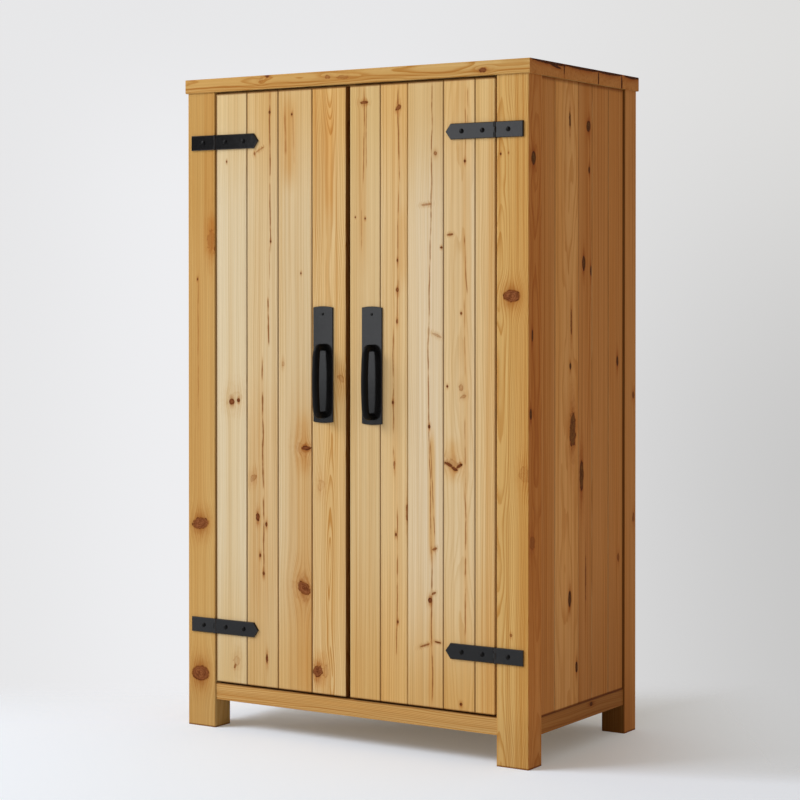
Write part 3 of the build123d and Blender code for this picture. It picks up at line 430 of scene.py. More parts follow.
def finish_material(tree, colour, roughness, height, distance, strength, **constants):
    bump = add(tree, "Bump", {"Height": height, "Distance": distance, "Strength": strength})
    values = {"Base Color": colour, "Roughness": roughness, "Normal": bump.outputs[0]}
    shader = add(tree, "BsdfPrincipled", values)
    for name, value in constants.items():
        shader.inputs[name.replace("_", " ")].default_value = value
    tree.links.new(shader.outputs[0], add(tree, "OutputMaterial").inputs[0])


GRAIN = pine_grain_group()
KNOT = knot_group()
SCATTER = scattered_knots_group()
STREAK = resin_streak_group()
FINISH = pine_finish_group()


def lay_knots(tree, masks, place, facing, marks, mottle):
    """The marked knots of one face, laid over the masks so far."""
    for mark in marks:
        across, along, half_width, half_height, tilt, ragged, strength = (*mark, *KNOT_USUAL[len(mark) - 4:])
        values = {"Board": place, "Across": across * MM, "Along": along * MM, "Half Width": half_width * MM,
                  "Half Height": half_height * MM, "Tilt": tilt, "Mottle": mottle, "Ragged": ragged,
                  "Strength": calc(tree, "MULTIPLY", facing, strength)}
        values.update({mask: masks[mask] for mask in KNOT_MASKS})
        masks = use_group(tree, KNOT, values)
    return masks


def lay_resin(tree, board, seed, streaks):
    """The resin lines of a board, one over the other."""
    resin = 0.0
    for number, (across, slant, middle, half_length, width, strength) in enumerate(streaks):
        values = {"Board": board, "Across": across * MM, "Lean": slant, "Middle": middle * MM,
                  "Half Length": half_length * MM, "Width": width * MM, "Strength": strength,
                  "Seed": seed + number * 3.7, "Resin": resin}
        resin = use_group(tree, STREAK, values)["Resin"]
    return resin


def lay_wax_and_shade(tree, axes, face, lay, edges, seams):
    """Dark wax and painted shade on the sloping edges of a board, by the level of its low and high side, and along its
    seams.
    """
    groove = 0.0
    if edges:
        slope = smooth(tree, calc(tree, "ABSOLUTE", face[lay[1]]), 0.85, 0.5)
        level = spread(tree, smooth(tree, face[lay[0]], -0.3, 0.3), *edges)
        groove = calc(tree, "MULTIPLY", slope, level)
    for axis, place, reach, strength in seams:
        away = calc(tree, "ABSOLUTE", calc(tree, "SUBTRACT", axes[axis], place * MM))
        line = calc(tree, "MULTIPLY", smooth(tree, away, reach * MM, reach * 0.3 * MM), strength)
        groove = calc(tree, "MAXIMUM", groove, line)
    return groove


# Ramps of tone along an axis; those that darken towards the bottom are painted shade
def ramped_tone(tree, tone, axes, tone_ramps):
    for axis, start, full, multiplier in tone_ramps:
        amount = smooth(tree, axes[axis], start * MM, full * MM)
        tone = tint(tree, amount, tone, times(tree, tone, *multiplier))
    return tone


def warm_tone(tree, tone, spots, streak, warm):
    """Warm bands along the grain: place across, width, middle, half length and amount."""
    for across, width, middle, half_length, amount in warm:
        aside = calc(tree, "ABSOLUTE", calc(tree, "SUBTRACT", spots[0], across * MM))
        above = calc(tree, "ABSOLUTE", calc(tree, "SUBTRACT", spots[2], middle * MM))
        band = calc(tree, "MULTIPLY", smooth(tree, aside, width * MM, 0.0),
                    smooth(tree, above, half_length * 1.2 * MM, half_length * 0.5 * MM))
        band = calc(tree, "MULTIPLY", band, calc(tree, "MULTIPLY", spread(tree, streak, 0.4, 1.6), amount))
        tone = tint(tree, band, tone, times(tree, tone, *WARM_BAND))
    return tone


def pine(name, lay, tone, pith, seed, ring=4.6, lean=(0.0, 0.0), wander=0.03, contrast=0.75, share=0.0,
         knots=(), side_knots=(), end_marks=(), streaks=(), warm=(), boards=None, edges=None, seams=(),
         tone_ramps=(), outer_tone_and_shade=None, outward=0, knot=KNOT_BROWN):
    """Waxed pine; lay names the axes across, through and along the board, its marks are in millimetres."""
    material, tree = new_material(name)
    coordinates = add(tree, "TexCoord").outputs
    axes = parts_of(tree, coordinates["Object"])
    face = parts_of(tree, coordinates["Normal"])
    spots = [axes[axis] for axis in lay]
    if boards:
        axis, start, pitch = boards
        order = calc(tree, "DIVIDE", calc(tree, "SUBTRACT", axes[axis], start * MM), pitch * MM)
        order = calc(tree, "FLOOR", order)
        spots[0] = calc(tree, "MULTIPLY_ADD", order, BOARD_SHIFT[0], spots[0])
        spots[2] = calc(tree, "MULTIPLY_ADD", order, BOARD_SHIFT[1], spots[2])
    board = joined(tree, *spots)
    turned = joined(tree, spots[1], spots[0], spots[2])
    ended = joined(tree, spots[0], spots[2], spots[1])
    mottle = noise(tree, vector(tree, "MULTIPLY", board, (95, 95, 75)), 4.0, 0.62)
    masks = dict.fromkeys(KNOT_MASKS, 0.0)
    if share:
        masks = use_group(tree, SCATTER, {"Board": board, "Seed": seed, "Share": share, "Mottle": mottle})
    for place, through, marks in ((board, lay[1], knots), (turned, lay[0], side_knots), (ended, lay[2], end_marks)):
        if marks:
            facing = smooth(tree, calc(tree, "ABSOLUTE", face[through]), 0.3, 0.8)
            masks = lay_knots(tree, masks, place, facing, marks, mottle)
    grain = use_group(tree, GRAIN, {"Board": board, "Pith": (pith[0] * MM, pith[1] * MM, 0.0), "Lean": (*lean, 0.0),
                                    "Wander": wander, "Ring": ring * MM, "Seed": seed, "Swerve": masks["Swerve"]})
    # Outer side faces take their own tone and a darker knot colour; on the right these are darker copies, painted shade
    if outward:
        outside = smooth(tree, calc(tree, "MULTIPLY", face["X"], outward), 0.4, 0.9)
        tone = tint(tree, outside, tone, outer_tone_and_shade)
        knot = tint(tree, outside, knot, SIDE_KNOT_SHADED)
        contrast = spread(tree, outside, contrast, SIDE_CONTRAST)
    tone = ramped_tone(tree, tone, axes, tone_ramps)
    tone = warm_tone(tree, tone, spots, grain["Streak"], warm)
    values = {label: grain[label] for label in ("Latewood", "Streak", "Fibre", "Band")}
    values.update({label: masks[label] for label in ("Heart", "Rim", "Halo")})
    values["End"] = smooth(tree, calc(tree, "ABSOLUTE", face[lay[2]]), 0.6, 0.85)
    # Dark wax and painted shade on the chamfers and along the seams
    values["Wax And Shade"] = lay_wax_and_shade(tree, axes, face, lay, edges, seams)
    values["Resin"] = lay_resin(tree, board, seed, streaks)
    values.update({"Tone": tone, "Knot": knot, "Contrast": contrast, "Mottle": mottle})
    wood = use_group(tree, FINISH, values)
    finish_material(tree, wood["Color"], wood["Roughness"], wood["Height"], **PINE_RELIEF,
                    Specular_IOR_Level=PINE_GLOSS)
    return material


def black_iron(name, edges=0.7, rough=0.11, gloss=0.35):
    """Satin black iron with a fine forged skin and browned edges."""
    material, tree = new_material(name)
    coordinates = add(tree, "TexCoord").outputs
    skin = noise(tree, vector(tree, "MULTIPLY", coordinates["Object"], (160, 160, 160)), 3.0)
    dents = noise(tree, vector(tree, "MULTIPLY", coordinates["Object"], (38, 38, 38)), 2.0)
    flat = calc(tree, "ABSOLUTE", parts_of(tree, coordinates["Normal"])["Y"])
    edge = calc(tree, "MULTIPLY", smooth(tree, flat, 0.15, 0.5), smooth(tree, flat, 0.97, 0.8))
    colour = tint(tree, dents, IRON_DARK, IRON_PALE)
    colour = tint(tree, calc(tree, "MULTIPLY", edge, edges), colour, IRON_EDGE)
    rough = calc(tree, "MULTIPLY_ADD", skin, 0.07, rough)
    relief = calc(tree, "MULTIPLY_ADD", dents, 2.0, skin)
    finish_material(tree, colour, rough, relief, 0.0005, 0.14, Specular_IOR_Level=gloss)
    return material


def bright_steel(name):
    """Zinc-bright steel, brushed along its length."""
    material, tree = new_material(name)
    place = add(tree, "TexCoord").outputs["Object"]
    brushed = noise(tree, vector(tree, "MULTIPLY", place, (900, 900, 30)), 2.0)
    cloud = noise(tree, vector(tree, "MULTIPLY", place, (70, 70, 70)), 3.0)
    colour = tint(tree, cloud, STEEL_DARK, STEEL_PALE)
    rough = calc(tree, "MULTIPLY_ADD", brushed, 0.2, 0.24)
    finish_material(tree, colour, rough, brushed, 0.0002, 0.3, Metallic=1.0)
    return material


def catch_plastic(name):
    """Dark brown moulded housing with a fine spark-eroded skin."""
    material, tree = new_material(name)
    place = add(tree, "TexCoord").outputs["Object"]
    skin = noise(tree, vector(tree, "MULTIPLY", place, (1400, 1400, 1400)), 2.0)
    cloud = noise(tree, vector(tree, "MULTIPLY", place, (60, 60, 60)), 2.0)
    colour = tint(tree, cloud, HOUSING_DARK, HOUSING_PALE)
    finish_material(tree, colour, calc(tree, "MULTIPLY_ADD", skin, 0.15, 0.42), skin, 0.0001, 0.4)
    return material


STEEL = bright_steel("bright_steel")


def dress(node, material):
    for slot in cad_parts[node].material_slots:
        slot.material = material


def dress_doors():
    """Door boards by number from the left, each with the knots, resin lines and bands of its front."""
    left = {
        1: dict(tone=CREAM_PINE, pith=(-640, -127), seed=1.3, ring=7.0, contrast=0.25, tone_ramps=PALE_DOOR_LOW_SHADE_HIGH_WARMTH,
                knots=[(-393, 907, 9.5, 8, 0.0, 0.6), (-370, 912, 5.5, 5), (-383, 916, 24, 15, 0.2, 1.5, 0.22),
                       (-376, 192, 11, 12, 0.3, 1.6, 0.35),
                       (-382, 178, 4, 5, 0.6, 0.9, 0.7), (-410, 1569, 2.3, 2.8)],
                # Painted shade along its left edge, in the gap at the hinges
                seams=[("X", -446.0, 6.0, 0.7)]),
        2: dict(tone=PALE_PINE, pith=(-560, -407), seed=2.9, ring=6.0, contrast=0.5, tone_ramps=PALE_DOOR_LOW_SHADE_HIGH_WARMTH,
                knots=[(-263, 1699, 3, 4), (-260, 1347, 2.6, 2.8), (-314, 1588, 3.4, 4, 0.0, 0.4, 0.8),
                       (-297, 1598, 13, 2.4, 0.5, 0.8, 0.55),
                       (-320, 699, 11, 9.5, 0.4, 0.9, 0.55), (-304, 593, 6, 10, -0.2, 0.9), (-275, 575, 3.5, 6),
                       (-296, 489, 3.5, 5), (-284, 440, 4, 5), (-273, 208, 3.5, 11, 0.0, 0.9)],
                streaks=[(-262, -0.004, 1541, 235, 2.2, 1.1), (-264, -0.004, 1262, 80, 1.4, 0.7),
                         (-268, -0.005, 1129, 70, 2.6, 1.1), (-287, -0.010, 845, 195, 2.5, 1.2),
                         (-284, -0.005, 542, 125, 2.2, 1.1)],
                warm=[(-287, 100, 640, 330, 0.5)]),
        3: dict(tone=PALE_PINE, pith=(-30, -267), seed=4.1, ring=6.5, contrast=0.5,
                knots=[(-189, 1690, 2.6, 2.6), (-159, 1260, 2.5, 2.6), (-218, 1015, 5, 6, 0.0, 1.2, 0.4),
                       (-143, 789, 16, 5.5, 0.1, 1.2), (-152, 784, 22, 15, -0.3, 1.6, 0.3),
                       (-149, 410, 21, 16, -0.3, 0.7), (-152, 404, 34, 26, -0.2, 1.2, 0.2)],
                streaks=[(-210, -0.014, 1648, 70, 4.0, 0.55), (-184, -0.024, 1633, 80, 3.5, 0.4)],
                warm=[(-198, 42, 1620, 130, 0.8), (-150, 80, 480, 480, 0.8), (-150, 40, 800, 90, 0.6)]),
        4: dict(tone=GOLD_PINE, pith=(-64, -270), wander=0.09, seed=5.7, ring=4.2, contrast=1.3,
                tone_ramps=[UPPER_WARMTH],
                knots=[(-27, 978, 12, 8, -0.4, 1.7, 0.45), (-93, 690, 11, 13, 0.0, 1.6, 0.3),
                       (-104, 190, 15, 14, 0.2, 1.0), (-78, 192, 10, 15, 0.3, 1.6, 0.4)],
                warm=[(-64, 26, 1560, 170, 1.0), (-30, 26, 970, 60, 0.5), (-95, 30, 190, 60, 0.6)]),
    }
    right = {
        1: dict(tone=TAN_PINE, pith=(-210, -407), seed=7.1, ring=6.5, contrast=0.5, tone_ramps=FAINT_DOOR_LOW_SHADE_HIGH_WARMTH,
                knots=[(45, 1711, 12, 3.5, 0.0, 1.2, 0.85), (18, 1408, 2, 2), (49, 1404, 2.4, 2.4)],
                streaks=[(45, 0.0, 1615, 140, 2.0, 0.85), (53, 0.0, 1641, 110, 1.8, 0.7),
                         (37, 0.0, 1401, 90, 1.6, 0.6)],
                warm=[(42, 30, 1520, 260, 0.45)]),
        2: dict(tone=STRAW_PINE, pith=(420, -427), seed=8.3, ring=5.0, contrast=0.6, edges=(0.35, 0.1),
                knots=[(154, 1693, 7, 6.5, 0.3, 1.3, 0.85), (151, 1293, 2.4, 4),
                       (151, 1216, 4.5, 6, 0.4, 1.3, 0.85), (150, 1133, 3, 6, 0.0, 1.2, 0.8),
                       (137, 920, 3.5, 4.5), (141, 755, 3, 10, 0.0, 1.0, 0.7), (181, 633, 4, 20, 0.0, 0.9, 0.7),
                       (146, 573, 3, 4.5), (152, 344, 3, 4)],
                streaks=[(155, -0.015, 1623, 130, 2.2, 0.95), (152, 0.004, 1300, 200, 1.8, 0.8),
                         (138, -0.006, 944, 185, 2.0, 0.95), (150, 0.012, 445, 215, 2.2, 0.85)],
                warm=[(152, 28, 1000, 760, 0.3), (166, 24, 1330, 110, 0.5)]),
        3: dict(tone=WHEAT_PINE, pith=(560, -207), seed=9.9, ring=7.0, contrast=0.3, edges=(0.05, 1.0),
                tone_ramps=DEEP_DOOR_LOW_SHADE_HIGH_WARMTH + [("Z", 1300.0, 1700.0, (0.92, 0.88, 0.78))],
                knots=[(268, 1569, 5, 5, 0.0, 0.6, 0.7), (240, 1437, 14, 2.4, 0.1, 0.8, 0.6), (286, 1325, 3.6, 2.4),
                       (271, 1098, 14, 3, -0.35, 0.9, 0.45), (249, 860, 3.5, 4.5), (266, 543, 7.5, 3, 0.3, 0.9, 0.75),
                       (263, 427, 6, 2.8, 0.4, 0.9, 0.8), (252, 408, 6, 6.5), (237, 290, 14, 2.4, 0.35, 0.8, 0.8),
                       (276, 301, 9, 2, -0.1, 0.8)],
                streaks=[(257, 0.004, 1605, 160, 2.0, 0.95), (251, 0.023, 1280, 225, 2.0, 0.95),
                         (247, -0.004, 969, 140, 2.0, 0.95), (252, -0.025, 683, 195, 1.6, 0.9),
                         (258, -0.005, 325, 220, 2.0, 1.0), (260.5, -0.057, 677, 170, 1.5, 0.85)],
                warm=[(257, 15, 677, 170, 1.8), (256, 18, 260, 150, 0.7)]),
        4: dict(tone=PALE_STRAW_PINE, pith=(352, -387), seed=11.2, ring=4.4, contrast=0.4,
                tone_ramps=DEEP_DOOR_LOW_SHADE_HIGH_WARMTH,
                knots=[(310, 764, 12, 5, -0.35, 1.2), (326, 754, 9, 4, -0.3, 1.1), (340, 761, 9, 4, 0.5, 1.1),
                       (316, 768, 22, 10, -0.1, 1.7, 0.45), (304, 966, 3, 3), (346, 964, 6, 8, 0.2, 1.4, 0.5),
                       (353, 941, 9, 4, 0.3, 1.2, 0.5), (357, 1546, 3.3, 3.6), (312, 1358, 9, 2.4, 0.1, 0.9, 0.85),
                       (346, 1155, 3, 3, 0.0, 0.9, 0.85), (346, 147, 4, 3.5)],
                streaks=[(358, 0.002, 1633, 110, 2.0, 0.7), (365, 0.010, 1665, 75, 1.8, 0.6),
                         (359, -0.034, 1281, 80, 2.0, 0.85), (356, -0.002, 1094, 105, 1.8, 0.55),
                         (358, -0.002, 791, 100, 2.2, 0.6), (359, 0.0, 508, 205, 2.4, 0.85)],
                warm=[(360, 24, 900, 780, 0.6), (320, 40, 775, 60, 0.6)]),
        5: dict(tone=STRAW_PINE, pith=(760, -247), seed=13.4, ring=6.0, contrast=0.6, edges=(0.35, 0.0),
                tone_ramps=FAINT_DOOR_LOW_SHADE_HIGH_WARMTH,
                warm=[(440, 44, 900, 1000, 0.6)]),
    }
    for side, boards in (("left", left), ("right", right)):
        for number, looks in boards.items():
            name = f"{side}_door_board_{number}"
            # Painted shade in the gaps above and below the doors
            looks["seams"] = looks.get("seams", []) + DOOR_PAINTED_SHADE
            # On the door boards the chamfers facing right, turned from the key lamp, get the deeper painted shade
            dress(name, pine(name + "_pine", "XYZ", **{"edges": (0.35, 1.0), "tone_ramps": DOOR_LOW_SHADE_HIGH_WARMTH, **looks}))
        name = f"{side}_door_ledges"
        seed = 31.0 if side == "left" else 33.0
        dress(name, pine(name + "_pine", "ZYX", TAN_PINE, (300, -200), seed, ring=6.0, share=0.35,
                         boards=("Z", -52.0, 670.0)))


def dress_carcase():
    """Posts, side boards, rails and top with their marks, and the plainer wood inside."""
    posts = {
        "front_left_post": dict(tone=HONEY_PINE, pith=(-880, -337), seed=15.1, ring=5.0, contrast=0.5,
                                tone_ramps=LEFT_POST_UPPER_WARMTH,
                                knots=[(-461, 1350, 14, 28, 0.0, 1.6, 0.45), (-450, 1329, 5, 6, 0.3, 0.9, 0.7),
                                       (-512, 1245, 2.5, 3.2), (-502, 565, 27, 16, 0.1, 0.5),
                                       (-502, 147, 29, 20, 0.0, 0.35)],
                                streaks=[(-510, 0.0, 1050, 230, 2.0, 0.6)],
                                warm=[(-470, 30, 1560, 330, 0.45), (-462, 36, 1365, 60, 0.8),
                                      (-505, 24, 900, 500, 0.35)]),
        "front_right_post": dict(tone=HONEY_PALE_PINE, pith=(462, -250), wander=0.08, seed=16.6, ring=3.5,
                                 contrast=1.0, warm=[(540, 46, 950, 900, 0.5)],
                                 knots=[(463, 1561, 2.5, 3), (486, 1563, 2, 2, 0.0, 0.4, 0.7),
                                        (495, 1200, 24, 15, 0.0, 0.3), (534, 748, 15, 19, 0.0, 1.5, 0.4),
                                        (494, 338, 3.5, 3.5, 0.0, 0.9, 0.7)],
                                 side_knots=[(-256, 1549, 11, 16), (-262, 1099, 4, 15), (-270, 901, 6, 13),
                                             (-262, 574, 13, 16, 0.0, 0.9, 0.6)]),
        "rear_left_post": dict(tone=HONEY_PINE, pith=(-700, 427), seed=17.7, share=0.3),
        "rear_right_post": dict(tone=HONEY_PINE, pith=(700, 427), seed=18.8,
                                seams=[("Y", 253.5, 4.5, 0.9)],
                                side_knots=[(306, 926, 6, 9, 0.0, 0.6, 0.8), (308, 588, 6, 12, 0.0, 0.6, 0.7)]),
    }
    for name, looks in posts.items():
        # Painted shade towards the feet and a dark line along the floor
        looks["seams"] = looks.get("seams", []) + POST_PAINTED_SHADE
        outward = 1 if "right" in name else -1
        # The right posts' outer faces take a darker copy of the tone: painted shade
        dress(name, pine(name + "_pine", "XYZ", outer_tone_and_shade=RIGHT_SHADED_PINE if outward > 0 else SIDE_PINE, outward=outward,
                         **looks))
    # The right side boards' tones: painted shade
    tones = (RIGHT_SHADED_PINE, RIGHT_SHADED_PALE_PINE, RIGHT_SHADED_PINE, RIGHT_SHADED_PINE, RIGHT_SHADED_PINE)
    # Dark wax and painted shade on the side boards' chamfers, facing front and facing back
    chamfer_wax_and_shade = ((0.6, 1.0), (0.9, 0.15), (0.15, 0.3), (0.3, 0.9), (0.9, 1.0))
    right_knots = {
        2: [(-53, 1658, 4.5, 21, 0.0, 0.8), (-45, 1130, 4, 32, 0.0, 0.8, 0.8), (-50, 1016, 5, 9),
            (-37, 849, 16, 44, 0.0, 0.9, 0.92), (-52, 406, 8, 20), (-14, 222, 6.5, 13)],
        3: [(50, 1649, 11, 14), (55, 1534, 4.5, 9), (25, 1286, 8.5, 19), (66, 1266, 5.5, 13),
            (13, 725, 11, 37, 0.0, 0.7, 0.95), (37, 452, 3, 58, 0.0, 0.8, 0.7)],
        5: [(220, 1022, 6, 14), (226, 486, 6, 11, 0.0, 0.6, 0.7)],
    }
    piths = ((-300, 700), (-60, 830), (260, 760), (-120, 900), (420, 800))
    seams = ([("Y", -211.5, 3.0, 0.4), ("Y", -132.5, 5.0, 0.9)], [], [("Y", 71.8, 3.0, 0.3)],
             [("Y", 166.6, 4.0, 0.6)], [("Y", 254.2, 6.5, 1.0)])
    for number in range(1, len(tones) + 1):
        for side, sign in (("left", -1), ("right", 1)):
            name = f"{side}_side_board_{number}"
            across, through = piths[number - 1]
            looks = dict(outer_tone_and_shade=SIDE_PINE, share=0.4)
            if side == "right":
                looks = dict(outer_tone_and_shade=tones[number - 1], knots=right_knots.get(number, ()))
            # Painted shade under the top, above the side rail and towards the bottom
            dress(name, pine(name + "_pine", "YXZ", INNER_PINE, (across, sign * through), outward=sign,
                             seed=20.0 + number * 1.7 + sign, ring=5.0, contrast=0.95, edges=chamfer_wax_and_shade[number - 1],
                             seams=seams[number - 1] + SIDE_PAINTED_SHADE, **looks))
    for number, place in enumerate(("front", "rear")):
        for level in ("bottom", "top"):
            name = f"{place}_{level}_rail"
            # A painted shadow along the top of the bottom rails, below the doors
            dress(name, pine(name + "_pine", "ZYX", RAIL_PINE, (-40, -205), 41.0 + number * 2.3, ring=4.2,
                             wander=0.04, contrast=1.6, seams=[("Z", 124.5, 5.0, 0.6)]))
    for number, place in enumerate(("left", "right")):
        for level in ("bottom", "top"):
            name = f"{place}_{level}_rail"
            marks = [(112, 67, 6, 8)] if level == "bottom" else []
            # A painted shadow along the top of the side bottom rails, below the side boards
            dress(name, pine(name + "_pine", "ZXY", RAIL_PINE, (150, 575), 45.0 + number * 2.3, ring=5.0,
                             wander=0.05, contrast=1.5, knots=marks, outer_tone_and_shade=RIGHT_SHADED_RAIL_PINE,
                             outward=1 if place == "right" else 0, seams=[("Z", 126.0, 7.0, 1.0)]))
    dress("top_boards", pine("top_pine", "YZX", HONEY_PINE, (-240, 1790), 51.0, ring=3.2, wander=0.05,
                             contrast=1.5, outer_tone_and_shade=RIGHT_SHADED_PALE_PINE, outward=1,
                             side_knots=[(1798, -268, 5, 6), (1788, -287, 9, 6, 0.0, 1.4, 0.35),
                                         (1784, -68, 5, 8, 0.0, 1.0, 0.6), (1781, -19, 5, 18, 0.0, 1.2, 0.5),
                                         (1776, 413, 6, 10, 0.0, 0.9, 0.9)],
                             # On the right end: long flat dark marks along the upper edge are painted shade; the short
                             # upright ones are checks
                             end_marks=[(-190, 1798, 90, 5, -0.02), (-150, 1790, 30, 3, -0.12),
                                        (-103, 1787, 2.5, 13), (0, 1798, 95, 5), (89, 1780, 3, 18),
                                        (150, 1798, 70, 5), (225, 1777, 4, 16), (285, 1798, 45, 5)]))
    inner = dict(tone=INNER_PINE, share=0.4, ring=6.0)
    dress("back_boards", pine("back_pine", "XYZ", pith=(60, 420), seed=53.0, edges=(1.0, 1.0),
                              boards=("X", -484.5, 121.125), **inner))
    dress("floor_boards", pine("floor_pine", "XZY", pith=(30, 20), seed=55.0, edges=(1.0, 1.0),
                               boards=("X", -521.5, 115.89), **inner))
    dress("shelf", pine("shelf_pine", "YZX", pith=(40, 1380), seed=57.0, **inner))
    dress("shelf_cleats", pine("cleat_pine", "ZXY", pith=(1400, 300), seed=58.0, **inner))
    dress("hanging_rail", pine("hanging_rail_pine", "ZYX", PALE_PINE, (1350, 40), 59.0))
    dress("rail_sockets", pine("socket_pine", "ZYX", INNER_PINE, (1340, 40), 60.0))
    dress("top_dowels", pine("dowel_pine", "XYZ", PALE_PINE, (20, 20), 61.0))


def dress_iron():
    iron = black_iron("black_iron")
    plate_iron = black_iron("plate_iron", gloss=0.29)
    grip_iron = black_iron("grip_iron", edges=0.0, rough=0.42, gloss=0.09)
    for side in ("left", "right"):
        for piece in ("upper_strap", "post_leaves"):
            dress(f"{side}_{piece}", iron)
        for piece in ("lower_strap", "handle_plate"):
            dress(f"{side}_{piece}", plate_iron)
        for piece in ("strap_bolts", "handle_grip", "handle_screws"):
            dress(f"{side}_{piece}", grip_iron)
        dress(f"{side}_strike_plate", STEEL)
    dress("post_leaf_bolts", grip_iron)
    dress("hinge_pins", grip_iron)
    dress("catch_magnets", catch_plastic("catch_housing"))


def screw_head(radius, rise):
    """A low slotted pan head that stands on the XY plane."""
    head = bpy.data.meshes.new("screw_head")
    shape = bmesh.new()
    bmesh.ops.create_cone(shape, cap_ends=True, segments=20, radius1=radius, radius2=radius * 0.92, depth=rise)
    bmesh.ops.translate(shape, verts=shape.verts, vec=(0.0, 0.0, rise / 2))
    upper = [edge for edge in shape.edges if all(vert.co.z > rise * 0.9 for vert in edge.verts)]
    bmesh.ops.bevel(shape, geom=upper, offset=rise * 0.45, affect="EDGES", segments=2, profile=0.5, material=-1)
    slot = radius * 0.15
    for side in (-slot, slot):
        cut = shape.verts[:] + shape.edges[:] + shape.faces[:]
        bmesh.ops.bisect_plane(shape, geom=cut, plane_co=(side, 0.0, 0.0), plane_no=(1.0, 0.0, 0.0))
    shape.normal_update()
    strip = [face for face in shape.faces if face.normal.z > 0.9 and abs(face.calc_center_median().x) < slot]
    bmesh.ops.inset_region(shape, faces=strip, thickness=slot * 0.2, depth=-rise * 0.5)
    shape.to_mesh(head)
    shape.free()
    return head


def nail_head(radius, rise):
    """A flat round nail head with a softened rim."""
    head = bpy.data.meshes.new("nail_head")
    shape = bmesh.new()
    bmesh.ops.create_cone(shape, cap_ends=True, segments=16, radius1=radius, radius2=radius, depth=rise)
    bmesh.ops.translate(shape, verts=shape.verts, vec=(0.0, 0.0, rise / 2))
    upper = [edge for edge in shape.edges if all(vert.co.z > rise * 0.9 for vert in edge.verts)]
    bmesh.ops.bevel(shape, geom=upper, offset=rise * 0.5, affect="EDGES", segments=2, profile=0.5, material=-1)
    shape.to_mesh(head)
    shape.free()
    return head


def fasteners(name, body, head, groups):
    """One piece of many heads; each group gives the way its heads face and their places in millimetres."""
    mesh = bpy.data.meshes.new(name)
    shape = bmesh.new()
    number = 0
    for facing, places in groups:
        turn = Vector(facing).to_track_quat("Z", "Y").to_matrix().to_4x4()
        for place in places:
            start = len(shape.verts)
            shape.from_mesh(head)
            shape.verts.ensure_lookup_table()
            slant = Matrix.Rotation(math.radians(SLOT_TURN * number), 4, "Z")
            seat = Matrix.Translation(Vector(place) * MM) @ turn @ slant
            bmesh.ops.transform(shape, matrix=seat, verts=shape.verts[start:])
            number += 1
    shape.to_mesh(mesh)
    shape.free()
    mesh.materials.append(STEEL)
    piece = bpy.data.objects.new(name, mesh)
    bpy.context.scene.collection.objects.link(piece)
    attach(piece, body)


def door_fasteners(screw):
    """Two screws through each ledge into the middle of every board."""
    for side in ("left", "right"):
        low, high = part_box(f"{side}_door_ledges")
        rear = high[1] / MM
        middles = []
        for number in range(1, DOOR_BOARD_COUNTS[side] + 1):
            board_low, board_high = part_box(f"{side}_door_board_{number}")
            left = max(board_low[0], low[0]) / MM
            right = min(board_high[0], high[0]) / MM
            middles.append((left + right) / 2)
        bottom = low[2] / MM
        top = high[2] / MM
        levels = (bottom + HALF_LEDGE, (bottom + top) / 2, top - HALF_LEDGE)
        steps = (-LEDGE_SCREW_STEP, LEDGE_SCREW_STEP)
        places = [(x, rear, level + step) for level in levels for x in middles for step in steps]
        fasteners(f"{side}_ledge_screws", f"{side}_door", screw, [((0, 1, 0), places)])


def carcase_fasteners(screw, small_screw, nail):
    """Screws in the shelf's cleats and the rail's sockets, and nails through the back into its rails."""
    low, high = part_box("shelf_cleats")
    level = high[2] / MM - CLEAT_SCREW_DROP
    rows = [low[1] / MM + share * (high[1] - low[1]) / MM for share in CLEAT_SCREW_SHARES]
    inner = high[0] / MM - CLEAT_THICKNESS
    groups = [((-sign, 0, 0), [(sign * inner, y, level) for y in rows]) for sign in (-1, 1)]
    fasteners("cleat_screws", "carcase", screw, groups)
    low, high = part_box("rail_sockets")
    centre_y, centre_z = (low[1] + high[1]) / 2 / MM, (low[2] + high[2]) / 2 / MM
    flange = high[0] / MM - SOCKET_FLANGE
    turns = [math.radians(turn) for turn in SOCKET_SCREW_TURNS]
    ring = [(SOCKET_SCREW_RADIUS * math.cos(turn), SOCKET_SCREW_RADIUS * math.sin(turn)) for turn in turns]
    groups = [((-sign, 0, 0), [(sign * flange, centre_y + y, centre_z + z) for y, z in ring]) for sign in (-1, 1)]
    fasteners("socket_screws", "carcase", small_screw, groups)
    low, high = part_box("back_boards")
    pitch = (high[0] - low[0]) / BACK_BOARD_COUNT / MM
    heights = [(box[0][2] + box[1][2]) / 2 / MM for box in (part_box("rear_bottom_rail"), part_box("rear_top_rail"))]
    places = [(low[0] / MM + (number + share) * pitch, high[1] / MM, z)
              for z in heights for number in range(BACK_BOARD_COUNT) for share in NAIL_SHARES]
    fasteners("back_nails", "carcase", nail, [((0, 1, 0), places)])


def fix_together():
    screw = screw_head(*[size * MM for size in SCREW_SIZE])
    small_screw = screw_head(*[size * MM for size in SMALL_SCREW_SIZE])
    nail = nail_head(*[size * MM for size in NAIL_SIZE])
    door_fasteners(screw)
    carcase_fasteners(screw, small_screw, nail)
    for head in (screw, small_screw, nail):
        bpy.data.meshes.remove(head)


def camera():
    turn = math.radians(CAMERA_ROUND)
    data = bpy.data.cameras.new("camera")
    data.lens = CAMERA_LENS
    data.sensor_width = 36.0
    data.shift_x, data.shift_y = CAMERA_SHIFT
    view = bpy.data.objects.new("camera", data)
    view.location = (math.sin(turn) * CAMERA_REACH, CAMERA_PIVOT_Y - math.cos(turn) * CAMERA_REACH, CAMERA_HEIGHT)
    view.rotation_euler = (math.radians(90.0 - CAMERA_TILT), 0.0, turn)
    bpy.context.scene.collection.objects.link(view)
    bpy.context.scene.camera = view


